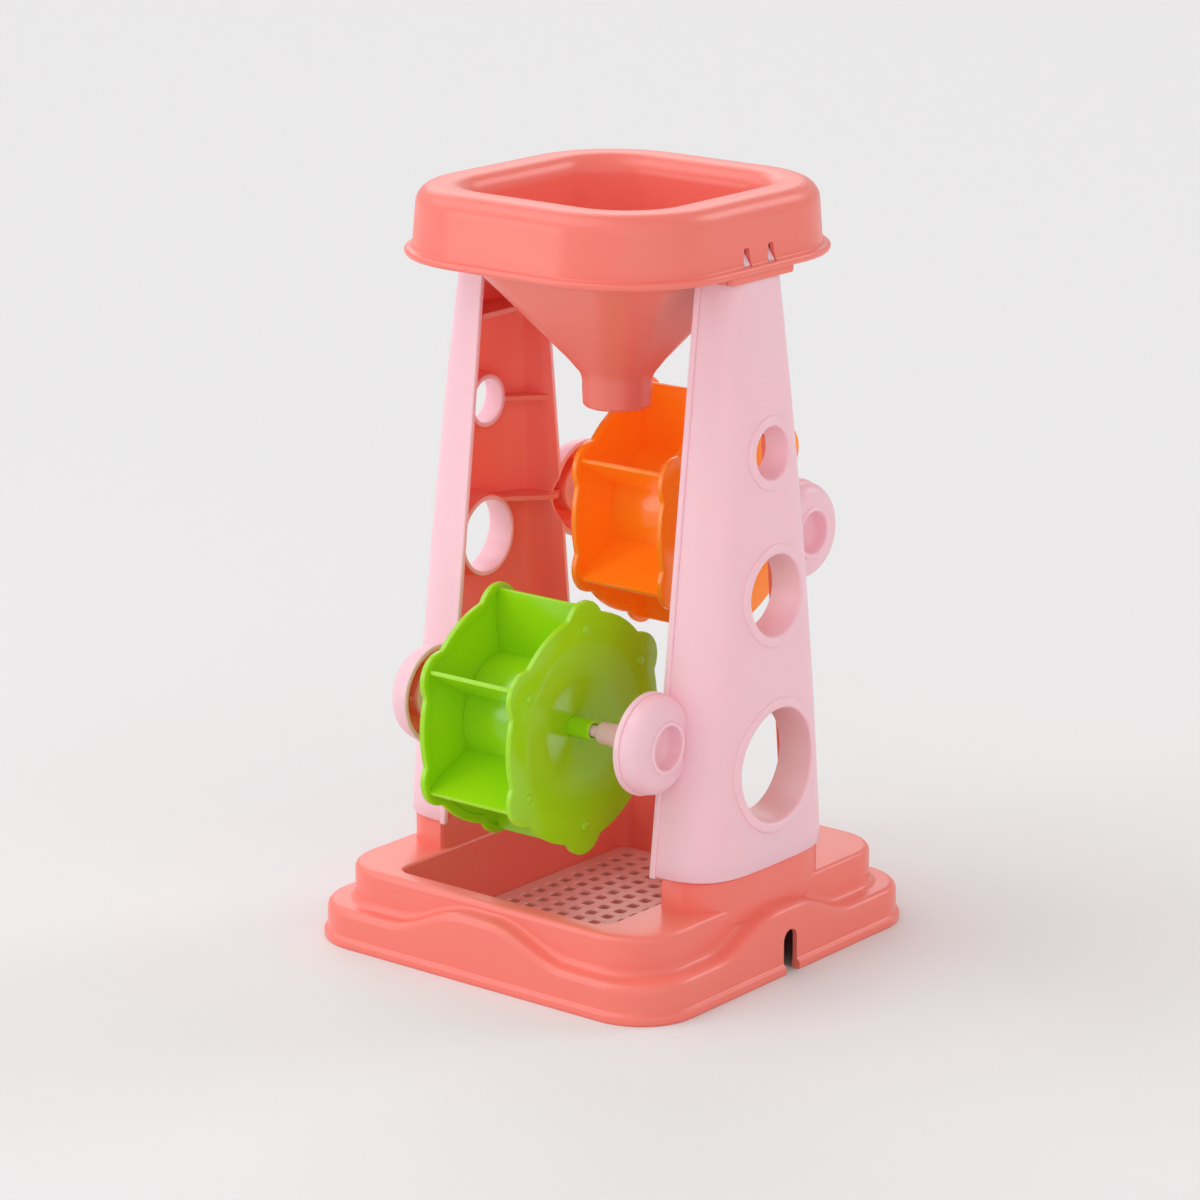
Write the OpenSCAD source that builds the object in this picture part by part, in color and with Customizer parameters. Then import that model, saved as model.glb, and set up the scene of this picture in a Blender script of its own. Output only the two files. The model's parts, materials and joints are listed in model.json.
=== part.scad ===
// Sand wheel toy: a hopper pours sand over two paddle wheels that turn above a sieve tray.
// The wheels' axles lie along X, the low wheel is at the front (-Y) and Z points up.
// All lengths are in millimetres and all angles in degrees.

/* [Base] */
// Height of the deck
deck_h = 30.8; // [29:0.2:36]
// Depth of the deck, along Y
deck_d = 160.6; // [154:0.2:170]
// Corner radius of the deck
deck_r = 21.3; // [12:0.1:26]
// How far the upright's foot reaches past the deck's end edge
deck_lap = 2.4; // [1:0.1:4]
// Width of the ledge at the ends, foot flange included
end_ledge_w = 10.6; // [8:0.2:14]
// Width of the ledge at the front and back, foot flange included
front_ledge_w = 9.2; // [8:0.2:14]
// Corner radius of the foot flange
base_r = 25; // [18:1:32]
// How far the foot flange stands out of the wall
flange_proud = 1.5; // [1:0.25:2]
// Height of the foot flange
flange_h = 4; // [3:0.5:6]
// Height of the ledge
ledge_h = 15.5; // [12:0.5:19]
// How far the crest of each hump lies below the deck
hump_drop = 4.4; // [4.2:0.1:8]
// Length of each hump along its side
hump_span = 88; // [60:1:100]
// Wall of the base
base_wall = 2; // [1.6:0.1:2.4]
// Width of the drain notch in each end wall
notch_w = 8.6; // [6:0.2:12]
// Height of the drain notch
notch_h = 17.5; // [12:0.5:20]

/* [Sieve tray] */
// How far the tray's end wall lies behind the upright's inner plane
tray_step = 0.8; // [0.4:0.1:3]
// Width of the deck in front of and behind the tray
tray_rim = 8.6; // [8:0.2:14]
// Corner radius of the tray opening
tray_r = 6.8; // [5:0.1:10]
// Height of the seat under the sieve floor
seat_h = 2.6; // [2.2:0.1:5]
// Width of that seat
seat_w = 2.2; // [1.5:0.1:3]
// Thickness of the sieve floor
sieve_t = 1.8; // [1.2:0.1:2.5]
// Width of one sieve hole
hole_w = 4.2; // [3:0.1:5]
// Distance from one sieve hole to the next
hole_pitch = 8.2; // [7:0.1:12]

/* [Uprights] */
// Gap between the two uprights' inner planes
upright_gap = 102; // [98:0.5:112]
// Height of an upright from its foot to its shoulder
upright_h = 228; // [220:1:250]
// Width of the foot, along Y
foot_w = 86.2; // [80:0.2:94]
// Width of the shoulder, along Y
shoulder_w = 36.2; // [34:0.2:44]
// Thickness of the foot, along X
foot_t = 29; // [26:0.1:32]
// Thickness of the shoulder, along X
shoulder_t = 17.4; // [16.6:0.1:20]
// Wall of an upright
upright_wall = 2.2; // [1.8:0.1:2.6]
// Width of the rim strip round the open side
rim_w = 2.5; // [1.5:0.1:4]
// How far the rim strip stands out
rim_proud = 0.8; // [0.4:0.1:1.2]
// Height of the collar that the upright stands on
socket_h = 11.6; // [8:0.2:16]
// Height of the tenon inside the foot
tenon_h = 12; // [8:1:20]
// Height of the tongue that plugs into the hopper
tongue_h = 13.6; // [12.5:0.1:15]

/* [Portholes] */
// Radius of the low porthole
low_port_r = 22.5; // [16:0.5:25]
// Radius of the middle porthole
mid_port_r = 15.9; // [10:0.1:18]
// Radius of the top porthole
top_port_r = 10.2; // [6:0.1:12]
// Height of the low porthole above the foot
low_port_h = 40; // [36:1:44]
// Height of the middle porthole above the foot
mid_port_h = 107; // [98:1:114]
// Height of the top porthole above the foot
top_port_h = 162; // [150:1:174]
// Width of the bead round a porthole
port_bead_w = 3.5; // [2:0.1:5]

/* [Bearings] */
// Distance of the low axle from the middle, towards the front
low_axle_out = 47; // [46:0.5:51]
// Distance of the high axle from the middle, towards the back
high_axle_out = 45; // [44.5:0.5:49]
// Height of the low axle above the upright's foot
low_axle_h = 54.6; // [52:0.2:60]
// How far the high axle lies below the upright's shoulder
high_axle_drop = 108; // [102:0.2:114]
// Radius of a bearing ear
ear_r = 18.6; // [17:0.2:20.4]
// How far an ear reaches out from the upright's inner plane
ear_t = 9.5; // [8.5:0.1:12]
// Radius of the pin that carries a wheel
pin_r = 2.2; // [1.8:0.1:2.6]
// Length of the pin inside the hub
pin_engagement = 13; // [8:1:16]
// Radial clearance of the pin in the hub
pin_clearance = 0.09; // [0.05:0.01:0.1]
// Radius of the stub at its tip
stub_tip_r = 3.6; // [3.4:0.1:4.2]
// Radius of the stub at its root
stub_root_r = 4.9; // [4.6:0.1:6]
// Play between a stub and the hub's end
end_play = 2; // [0.5:0.1:3]

/* [Wheels] */
// Radius to the tip of a lobe
lobe_r = 50.5; // [47:0.5:54]
// Radius between two lobes
valley_r = 45.4; // [42:0.2:48]
// Width of a wheel over its discs
wheel_w = 44.6; // [38:0.2:50]
// Number of paddles
paddle_count = 6; // [4:1:8]
// Thickness of a paddle
paddle_t = 1.8; // [1.2:0.1:2.4]
// Outer radius of the paddles
paddle_r = 47.4; // [44:0.2:50]
// Radius of the drum between the paddles
drum_r = 23.6; // [18:0.2:27]
// Wall of the drum
drum_wall = 1.8; // [1.2:0.1:2.4]
// Outer radius of the hub tube
hub_r = 4; // [3.6:0.1:5]
// How far the hub tube stands out past a disc's rim
hub_out = 4.2; // [2:0.2:6]
// Thickness of a disc
disc_t = 1.8; // [1.4:0.1:2.4]
// Radius where a disc's dish begins
dish_r = 35; // [32:0.5:37]
// Depth of the dish at the hub
dish_depth = 8; // [5:0.5:10]
// Radius of the circle of pegs
peg_circle_r = 39.2; // [38:0.2:42]
// Radius of a peg
peg_r = 1.5; // [1.2:0.1:2]

/* [Hopper] */
// Depth over the lip, along Y
hopper_d = 147.4; // [134:0.2:160]
// Corner radius of the lip
hopper_r = 47; // [42:1:52]
// How far the lip reaches past the upright's shoulder
lip_over = 1.6; // [1.2:0.1:4]
// Height of the skirt
skirt_h = 27; // [25:0.5:34]
// How far the lip stands out of the skirt
lip_proud = 3; // [2:0.25:3.25]
// Height of the lip
lip_h = 3.6; // [2.5:0.1:3.8]
// Width of the rim at the front and back of the mouth
mouth_rim = 21.8; // [20:0.2:28]
// Corner radius of the mouth
mouth_r = 22.8; // [18:0.2:26]
// Wall of the hopper
hopper_wall = 1.8; // [1.4:0.1:2]
// Outer radius of the neck
neck_r = 13.5; // [11:0.5:16]
// Length of the straight neck
neck_h = 13.3; // [8:0.5:18]
// Height of the funnel above the neck
funnel_h = 44.4; // [38:0.2:50]

/* [Hidden] */

$fn = 64;
overrun = 1;
fit_gap = 0.2;
coral = "#ee7c74";
sieve_pink = "#cf817b";
pink = "#f7c5cf";
lime = "#8fcc12";
orange = "#ff6a0a";

// Base details
base_edge_r = 4;
deck_edge_r = 3;
tray_edge_r = 2;
ledge_fillet = 1;
hump_flat = 6;
seat_t = 1.6;
base_corner_steps = 6;
base_side_steps = 15;
edge_step = 30;

// Socket details
socket_back = 6;
socket_inset = 1.4;
socket_wall = 2.4;

// Upright details: its section is a D with a bowed outer face
side_power = 4;
bow_power = 3;
taper_power = 2;
section_steps = 24;
height_steps = 8;
rib_t = 1.8;
rib_setback = 5;
top_rib_drop = 25;
port_tube_wall = 1.8;
port_setback = 12;
port_bead_proud = 0.7;

// Bearing details
ear_edge_r = 5;
dimple_r = 8.3;
dimple_depth = 5;
dimple_bead_r = 1.3;
pin_chamfer = 0.5;
stub_round = 1;
arc_step = 15;

// Wheel details
lobe_half_angle = 15;
outline_step = 3;
peg_head_r = 2.3;
peg_head_h = 0.9;
peg_boss_r = 2.4;
peg_boss_l = 5;
peg_clearance = 0.1;
disc_clearance = 0.1;

// Hopper details
tab_drop = 2.6;
bowl_drop = 3.3;
roll_r = 8;
mouth_roll_r = 6;
skirt_draft = 1.3;
bowl_draft = 0.8;
neck_flat = 0.6;
neck_edge_r = 1;
hopper_corner_steps = 12;
pocket_rib_t = 1.8;
pocket_bite = 0.8;
pocket_headroom = 2;
barb_y = 7.6;
barb_w = 2;
barb_h = 5.4;
barb_out = 3;
window_foot_w = 5;
window_head_w = 2.6;
window_h = 7;
window_lift = 4;

// Heights and places that follow from the sizes above
foot_z = deck_h + socket_h;
shoulder_z = foot_z + upright_h;
inner_x = upright_gap / 2;
deck_w = upright_gap + 2 * (foot_t - deck_lap);
base_w = deck_w + 2 * end_ledge_w;
base_d = deck_d + 2 * front_ledge_w;
tray_w = upright_gap + 2 * tray_step;
tray_d = deck_d - 2 * tray_rim;
hump_z = deck_h - hump_drop;
hopper_w = upright_gap + 2 * (shoulder_t + lip_over);
mouth_w = upright_gap - 2 * (hopper_wall + fit_gap);
mouth_d = hopper_d - 2 * mouth_rim;
hopper_z = shoulder_z + tab_drop;
rim_z = hopper_z + skirt_h;
funnel_top_z = hopper_z - bowl_drop;
neck_top_z = funnel_top_z - funnel_h;
neck_z = neck_top_z - neck_h;
skirt_inner_x = hopper_w / 2 - lip_proud - hopper_wall;
tongue_t = skirt_inner_x - skirt_draft - fit_gap - inner_x;
tongue_w = shoulder_w - hopper_wall;
high_axle_h = upright_h - high_axle_drop;
low_axle = [0, -low_axle_out, foot_z + low_axle_h];
high_axle = [0, high_axle_out, foot_z + high_axle_h];
ear_out_x = inner_x + ear_t;
hub_half = wheel_w / 2 + hub_out;
stub_tip_x = hub_half + end_play;
pin_tip_x = hub_half - pin_engagement;
bore_r = pin_r + pin_clearance;
ports = [[low_port_h, low_port_r], [mid_port_h, mid_port_r], [top_port_h, top_port_r]];
rib_heights = [low_axle_h, high_axle_h, top_port_h, upright_h - top_rib_drop];

// Skins and outlines

// Solid skin over a stack of outlines that all have the same number of points.
// A looped skin runs on from its last outline to its first, and an open one is capped.
module skin(rings, looped = false) {
    n = len(rings[0]);
    count = len(rings);
    bands = looped ? count : count - 1;
    sides = [for (i = [0:bands - 1], j = [0:n - 1])
        let (next = (i + 1) % count, k = (j + 1) % n)
        each [[i * n + j, next * n + k, i * n + k], [i * n + j, next * n + j, next * n + k]]];
    caps = looped ? [] : [[for (j = [0:n - 1]) j],
                          [for (j = [n - 1:-1:0]) (count - 1) * n + j]];
    polyhedron(points = [for (ring = rings) each ring], faces = concat(sides, caps));
}

// Rise of a hump at a distance from the middle of its side, from 0 to 1
function hump_share(distance) =
    let (run = max(0, abs(distance) - hump_flat) / (hump_span / 2 - hump_flat))
    run < 1 ? (1 + cos(180 * run)) / 2 : 0;

// Rounded rectangle at height z. Its sides rise to height crest in their middle.
function rounded_ring(half_w, half_d, r, z, crest, corner_steps, side_steps) =
    let (corners = [[1, 1], [-1, 1], [-1, -1], [1, -1]],
         centres = [for (c = corners) [c[0] * (half_w - r), c[1] * (half_d - r)]])
    [for (q = [0:3])
        let (next = centres[(q + 1) % 4],
             turn = 90 * (q + 1),
             from = centres[q] + r * [cos(turn), sin(turn)],
             to = next + r * [cos(turn), sin(turn)])
        each concat(
            [for (k = [0:corner_steps])
                let (a = 90 * (q + k / corner_steps))
                [centres[q][0] + r * cos(a), centres[q][1] + r * sin(a), z]],
            side_steps == 0 ? [] :
            [for (k = [1:side_steps])
                let (p = from + (to - from) * k / (side_steps + 1))
                [p[0], p[1], z + (crest - z) * hump_share(q % 2 == 0 ? p[0] : p[1])]])];

// Rounded rectangle as a flat shape with true arcs
module rounded_rectangle(w, d, r) {
    square([w - 2 * r, d], center = true);
    square([w, d - 2 * r], center = true);
    for (x = [-1, 1], y = [-1, 1])
        translate([x * (w / 2 - r), y * (d / 2 - r)]) circle(r);
}

// Half of the upright's section: the D's outer face, from one side edge to the other
function d_face(w, t) =
    [for (k = [0:section_steps])
        let (a = 180 * k / section_steps - 90)
        [inner_x + t * pow(max(0, cos(a)), 2 / bow_power),
         w / 2 * sign(a) * pow(abs(sin(a)), 2 / side_power)]];

// The same outline closed behind the inner plane by a set amount
function d_outline(w, t, back) =
    back == 0 ? d_face(w, t)
              : concat([[inner_x - back, -w / 2]], d_face(w, t), [[inner_x - back, w / 2]]);

// Width and thickness of the upright at a height above its foot
function upright_w(h) = foot_w + (shoulder_w - foot_w) * h / upright_h;
function upright_t(h) =
    foot_t + (shoulder_t - foot_t) * pow(max(0, h) / upright_h, taper_power);

// Base

// One outline of the base's profile, inset from the wall, the deck or the tray
function wall_ring(inset, z, crest) =
    rounded_ring(base_w / 2 - flange_proud - inset, base_d / 2 - flange_proud - inset,
                 base_r - flange_proud - inset, z, crest, base_corner_steps, base_side_steps);
function deck_ring(inset, z, crest) =
    rounded_ring(deck_w / 2 - inset, deck_d / 2 - inset, deck_r - inset, z, crest,
                 base_corner_steps, base_side_steps);
function tray_ring(inset, z) =
    rounded_ring(tray_w / 2 - inset, tray_d / 2 - inset, tray_r - inset, z, z,
                 base_corner_steps, base_side_steps);

// Profile of the base, up the outside, over the deck, down the tray and back underneath
function base_rings() = concat(
    [wall_ring(0, flange_h / 2, flange_h / 2)],
    [for (a = [0:edge_step:90])
        wall_ring(base_edge_r * (1 - cos(a)), ledge_h - base_edge_r * (1 - sin(a)),
                  hump_z - base_edge_r * (1 - sin(a)))],
    [deck_ring(-ledge_fillet, ledge_h, hump_z),
     deck_ring(0, ledge_h + ledge_fillet, hump_z + ledge_fillet)],
    [for (a = [0:edge_step:90])
        let (z = deck_h - deck_edge_r * (1 - sin(a)))
        deck_ring(deck_edge_r * (1 - cos(a)), z, z)],
    [for (a = [0:edge_step:90])
        tray_ring(-tray_edge_r * (1 - sin(a)), deck_h - tray_edge_r * (1 - cos(a)))],
    [tray_ring(0, seat_h),
     tray_ring(seat_w, seat_h),
     tray_ring(seat_w, seat_h - seat_t),
     tray_ring(-base_wall, seat_h - seat_t),
     tray_ring(-base_wall, deck_h - base_wall),
     deck_ring(base_wall, deck_h - base_wall, deck_h - base_wall),
     deck_ring(base_wall, ledge_h - base_wall, hump_z - base_wall),
     wall_ring(base_wall, ledge_h - base_wall, hump_z - base_wall),
     wall_ring(base_wall, flange_h / 2, flange_h / 2)]);

// Flat ring that the toy stands on. It reaches a little inside the wall above it.
module foot_flange() {
    inside = 2 * (flange_proud + base_wall) + base_wall / 2;
    linear_extrude(flange_h)
        difference() {
            rounded_rectangle(base_w, base_d, base_r);
            rounded_rectangle(base_w - inside, base_d - inside, base_r - inside / 2);
        }
}

// D-shaped block behind the socket's inner face, from one height to another
module socket_block(w, t, face_x, low, high) {
    translate([0, 0, low])
        linear_extrude(high - low)
            intersection() {
                polygon(d_outline(w, t, overrun));
                translate([face_x, -foot_w]) square([foot_t, 2 * foot_w]);
            }
}

// Collar and tenon that one upright stands on, solid
module socket_solid() {
    tenon_w = upright_w(tenon_h) - 2 * (upright_wall + fit_gap);
    tenon_t = upright_t(tenon_h) - upright_wall - fit_gap;
    face_x = inner_x + socket_back;
    socket_block(foot_w - 2 * socket_inset, foot_t - socket_inset, face_x,
                 hump_z - base_wall, foot_z);
    socket_block(tenon_w, tenon_t, face_x, foot_z - overrun, foot_z + tenon_h);
}

// Hollow of the collar and tenon, open underneath
module socket_hollow() {
    hollow_w = upright_w(tenon_h) - 2 * (upright_wall + fit_gap + socket_wall);
    hollow_t = upright_t(tenon_h) - upright_wall - fit_gap - socket_wall;
    socket_block(hollow_w, hollow_t, inner_x + socket_back + socket_wall,
                 seat_h, foot_z + tenon_h - socket_wall);
}

// Arched notch that lets water and sand out of an end wall
module drain_notch() {
    translate([base_w / 2 - base_edge_r - base_wall - flange_proud, 0, 0])
        rotate([90, 0, 90])
            linear_extrude(base_edge_r + base_wall + 2 * flange_proud + overrun) {
                translate([-notch_w / 2, -overrun])
                    square([notch_w, notch_h - notch_w / 2 + overrun]);
                translate([0, notch_h - notch_w / 2]) circle(notch_w / 2);
            }
}

module base() {
    color(coral)
        difference() {
            union() {
                foot_flange();
                skin(base_rings(), looped = true);
                for (side = [0, 1]) mirror([side, 0, 0]) socket_solid();
            }
            for (side = [0, 1]) mirror([side, 0, 0]) {
                socket_hollow();
                drain_notch();
            }
        }
}

// Sieve floor: a plate of square holes that drops onto the seat in the tray
module sieve_floor() {
    plate_w = tray_w - 2 * fit_gap;
    plate_d = tray_d - 2 * fit_gap;
    columns = floor((plate_w - 2 * (seat_w + hole_w)) / hole_pitch);
    rows = floor((plate_d - 2 * (seat_w + hole_w)) / hole_pitch);
    color(sieve_pink)
        translate([0, 0, seat_h])
            linear_extrude(sieve_t)
                difference() {
                    rounded_rectangle(plate_w, plate_d, tray_r - fit_gap);
                    for (i = [0:columns], j = [0:rows])
                        translate([(i - columns / 2) * hole_pitch, (j - rows / 2) * hole_pitch])
                            square(hole_w, center = true);
                }
}

// Uprights

// Body of the upright as a solid, grown or shrunk all round, from one height to another
module upright_solid(grow, low, high, back = 0) {
    skin([for (k = [0:height_steps])
        let (h = low + (high - low) * k / height_steps)
        [for (p = d_outline(upright_w(h) + 2 * grow, upright_t(h) + grow, back))
            [p[0], p[1], foot_z + h]]]);
}

// Outline of the upright seen along X, grown all round
module upright_front(grow, low, high) {
    polygon([[-upright_w(low) / 2 - grow, foot_z + low], [upright_w(low) / 2 + grow, foot_z + low],
             [upright_w(high) / 2 + grow, foot_z + high],
             [-upright_w(high) / 2 - grow, foot_z + high]]);
}

// Slab across the upright, between two distances along X
module slab_along_x(from, to) {
    translate([from, 0, 0]) rotate([90, 0, 90]) linear_extrude(to - from) children();
}

// Solid turned about an axle
module turned(axle) {
    translate([0, axle[1], axle[2]]) rotate([0, 90, 0]) rotate_extrude() children();
}

// Outline of an ear in radius and distance along X, with a rounded outer edge
module ear_outline(inset, from) {
    r = ear_r - inset;
    out = ear_out_x - inset;
    edge = ear_edge_r - inset;
    polygon(concat([[0, from], [r, from]],
                   [for (a = [0:arc_step:90])
                       [r - edge + edge * cos(a), out - edge + edge * sin(a)]],
                   [[0, out]]));
}

// Rim strip round the open side, which runs round the ears as well
module rim_strip() {
    slab_along_x(inner_x, inner_x + rim_w)
        difference() {
            union() {
                upright_front(rim_proud, 0, upright_h);
                for (axle = [low_axle, high_axle])
                    translate([axle[1], axle[2]]) circle(ear_r + rim_proud);
            }
            upright_front(-upright_wall, -overrun, upright_h - upright_wall);
            for (axle = [low_axle, high_axle])
                translate([axle[1], axle[2]]) circle(ear_r - upright_wall);
        }
}

// Cup behind the dimple, the dimple's bead, the tapered stub and the pin, turned in one
module bearing(axle) {
    cup_x = ear_out_x - dimple_depth - upright_wall;
    turned(axle) {
        difference() {
            union() {
                translate([0, cup_x]) square([dimple_r + upright_wall, ear_out_x - cup_x]);
                translate([dimple_r + dimple_bead_r, ear_out_x]) circle(dimple_bead_r);
                polygon([[0, pin_tip_x], [pin_r - pin_chamfer, pin_tip_x],
                         [pin_r, pin_tip_x + pin_chamfer], [pin_r, stub_tip_x],
                         [stub_tip_r - stub_round, stub_tip_x],
                         [stub_tip_r, stub_tip_x + stub_round],
                         [stub_root_r, cup_x], [stub_root_r, cup_x + upright_wall / 2],
                         [0, cup_x + upright_wall / 2]]);
            }
            translate([0, ear_out_x - dimple_depth]) square([dimple_r, dimple_depth + overrun]);
        }
    }
}

// Inner rib across the upright. A rib at an axle runs out to its bearing.
module upright_rib(h) {
    axle = h == low_axle_h ? low_axle : h == high_axle_h ? high_axle : undef;
    intersection() {
        translate([inner_x + rib_setback, -foot_w, foot_z + h - rib_t / 2])
            cube([foot_t, 2 * foot_w, rib_t]);
        union() {
            upright_solid(-upright_wall / 2, 0, upright_h);
            if (axle != undef)
                turned(axle) ear_outline(upright_wall / 2, inner_x);
        }
    }
}

// Tongue that plugs into the hopper, hollow on the inner side, with two barbs
module tongue() {
    tongue_foot_z = shoulder_z - upright_wall;
    barb_x = inner_x + tongue_t - barb_out;
    difference() {
        translate([0, 0, tongue_foot_z])
            linear_extrude(tongue_h + upright_wall)
                polygon(d_outline(tongue_w, tongue_t, 0));
        translate([0, 0, tongue_foot_z - overrun])
            linear_extrude(tongue_h + overrun)
                polygon(d_outline(tongue_w - 2 * upright_wall, tongue_t - upright_wall, overrun));
    }
    for (side = [-1, 1])
        translate([barb_x, side * barb_y + barb_w / 2, hopper_z + window_lift + fit_gap])
            rotate([90, 0, 0])
                linear_extrude(barb_w)
                    polygon([[0, 0], [2 * barb_out, 0], [barb_out, barb_h], [0, barb_h]]);
}

module right_upright() {
    color(pink)
        difference() {
            union() {
                difference() {
                    union() {
                        upright_solid(0, 0, upright_h);
                        for (axle = [low_axle, high_axle])
                            turned(axle) ear_outline(0, inner_x);
                        intersection() {
                            upright_solid(port_bead_proud, 0, upright_h);
                            slab_along_x(inner_x + shoulder_t / 2, inner_x + 2 * foot_t)
                                for (port = ports)
                                    translate([0, foot_z + port[0]])
                                        circle(port[1] + port_bead_w);
                        }
                    }
                    upright_solid(-upright_wall, -overrun, upright_h - upright_wall, overrun);
                    translate([0, 0, shoulder_z - upright_wall - overrun])
                        linear_extrude(upright_wall + 2 * overrun)
                            polygon(d_outline(tongue_w - 2 * upright_wall,
                                              tongue_t - upright_wall, overrun));
                    for (axle = [low_axle, high_axle])
                        turned(axle) ear_outline(upright_wall, inner_x - overrun);
                }
                intersection() {
                    upright_solid(-upright_wall / 2, 0, upright_h);
                    slab_along_x(inner_x + port_setback, inner_x + 2 * foot_t)
                        for (port = ports)
                            translate([0, foot_z + port[0]]) circle(port[1] + port_tube_wall);
                }
                for (h = rib_heights) upright_rib(h);
                rim_strip();
                tongue();
                for (axle = [low_axle, high_axle]) bearing(axle);
            }
            slab_along_x(inner_x - overrun, inner_x + 2 * foot_t)
                for (port = ports)
                    translate([0, foot_z + port[0]]) circle(port[1]);
            for (axle = [low_axle, high_axle])
                translate([ear_out_x - dimple_depth, axle[1], axle[2]])
                    rotate([0, 90, 0])
                        cylinder(r = dimple_r, h = dimple_depth + foot_t);
        }
}

module left_upright() {
    mirror([1, 0, 0]) right_upright();
}

// Wheels

// Depth of the dish at a radius, 0 at the flat rim
function dish_at(r) = dish_depth * max(0, dish_r - r) / (dish_r - hub_r);

// Inner face of a disc at a radius, as a distance from the wheel's middle
function disc_face(r) = wheel_w / 2 - disc_t - dish_at(r);

// Radius of the lobed outline at an angle from a paddle
function lobed_r(angle) =
    let (pitch = 360 / paddle_count,
         off = abs(angle - pitch * round(angle / pitch)))
    off < lobe_half_angle
        ? valley_r + (lobe_r - valley_r) * (1 + cos(180 * off / lobe_half_angle)) / 2
        : valley_r;

// Places children at each paddle, turned about the axle
module at_paddles() {
    for (i = [0:paddle_count - 1]) rotate([i * 360 / paddle_count, 0, 0]) children();
}

// One paddle in the plane of the axle and Z, cut to the discs' dished inner faces
module paddle() {
    root_r = drum_r - drum_wall / 2;
    edge = [[root_r, disc_face(root_r)], [dish_r, disc_face(dish_r)],
            [paddle_r, disc_face(paddle_r)]];
    rotate([90, 0, 0])
        translate([0, 0, -paddle_t / 2])
            linear_extrude(paddle_t)
                polygon(concat([for (p = edge) [p[1] - disc_clearance, p[0]]],
                               [for (i = [len(edge) - 1:-1:0])
                                   [disc_clearance - edge[i][1], edge[i][0]]]));
}

// Peg with its boss and its round head, on the +X side
module peg() {
    face_x = disc_face(peg_circle_r) - disc_clearance;
    head_x = wheel_w / 2;
    translate([0, 0, peg_circle_r])
        rotate([0, 90, 0])
            rotate_extrude()
                polygon([[0, face_x - peg_boss_l], [peg_boss_r, face_x - peg_boss_l],
                         [peg_boss_r, face_x], [peg_r, face_x], [peg_r, head_x],
                         [peg_head_r, head_x], [peg_head_r * cos(45), head_x + peg_head_h / 2],
                         [peg_head_r / 2, head_x + peg_head_h], [0, head_x + peg_head_h]]);
}

// Drum with its middle web, its hub tube, its paddles and its pegs
module wheel_drum(tint) {
    drum_half = disc_face(drum_r - drum_wall) - disc_clearance;
    color(tint)
        difference() {
            union() {
                rotate([0, 90, 0])
                    rotate_extrude() {
                        translate([drum_r - drum_wall, -drum_half])
                            square([drum_wall, 2 * drum_half]);
                        translate([0, -drum_wall / 2])
                            square([drum_r - drum_wall / 2, drum_wall]);
                        translate([0, -hub_half]) square([hub_r, 2 * hub_half]);
                    }
                at_paddles() {
                    paddle();
                    peg();
                    mirror([1, 0, 0]) peg();
                }
            }
            translate([-hub_half - overrun, 0, 0])
                rotate([0, 90, 0])
                    cylinder(r = bore_r, h = 2 * (hub_half + overrun));
        }
}

// Disc on the +X side: a dished plate with a lobed outline, a hub hole and peg holes
module wheel_disc(tint) {
    hole_r = hub_r + disc_clearance;
    out_x = wheel_w / 2;
    reach = lobe_r + overrun;
    color(tint)
        difference() {
            intersection() {
                rotate([0, 90, 0])
                    rotate_extrude()
                        polygon([[hole_r, out_x - dish_at(hole_r)], [dish_r, out_x],
                                 [reach, out_x], [reach, disc_face(reach)],
                                 [dish_r, disc_face(dish_r)], [hole_r, disc_face(hole_r)]]);
                rotate([90, 0, 90])
                    linear_extrude(out_x + overrun)
                        polygon([for (a = [0:outline_step:359])
                            lobed_r(a) * [sin(a), cos(a)]]);
            }
            at_paddles()
                translate([disc_face(peg_circle_r) - overrun, 0, peg_circle_r])
                    rotate([0, 90, 0])
                        cylinder(r = peg_r + peg_clearance, h = disc_t + 2 * overrun);
        }
}

module lower_wheel_drum() { translate(low_axle) wheel_drum(lime); }
module lower_wheel_right_disc() { translate(low_axle) wheel_disc(lime); }
module lower_wheel_left_disc() { translate(low_axle) mirror([1, 0, 0]) wheel_disc(lime); }
module upper_wheel_drum() { translate(high_axle) wheel_drum(orange); }
module upper_wheel_right_disc() { translate(high_axle) wheel_disc(orange); }
module upper_wheel_left_disc() { translate(high_axle) mirror([1, 0, 0]) wheel_disc(orange); }

// Hopper

// One outline of the hopper, inset from the lip or from the mouth
function lip_ring(inset, z) =
    rounded_ring(hopper_w / 2 - inset, hopper_d / 2 - inset, hopper_r - inset, z, z,
                 hopper_corner_steps, 0);
function mouth_ring(inset, z) =
    rounded_ring(mouth_w / 2 - inset, mouth_d / 2 - inset, mouth_r - inset, z, z,
                 hopper_corner_steps, 0);

// Outline between the round neck (share 0) and the bowl (share 1)
function funnel_ring(share, inset, z) =
    let (bowl = hopper_wall - bowl_draft,
         half_w = neck_r + (mouth_w / 2 + bowl - neck_r) * share,
         half_d = neck_r + (mouth_d / 2 + bowl - neck_r) * share,
         r = neck_r - neck_flat + (mouth_r + bowl - neck_r + neck_flat) * share)
    rounded_ring(half_w - inset, half_d - inset, r - inset, z, z, hopper_corner_steps, 0);

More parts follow.
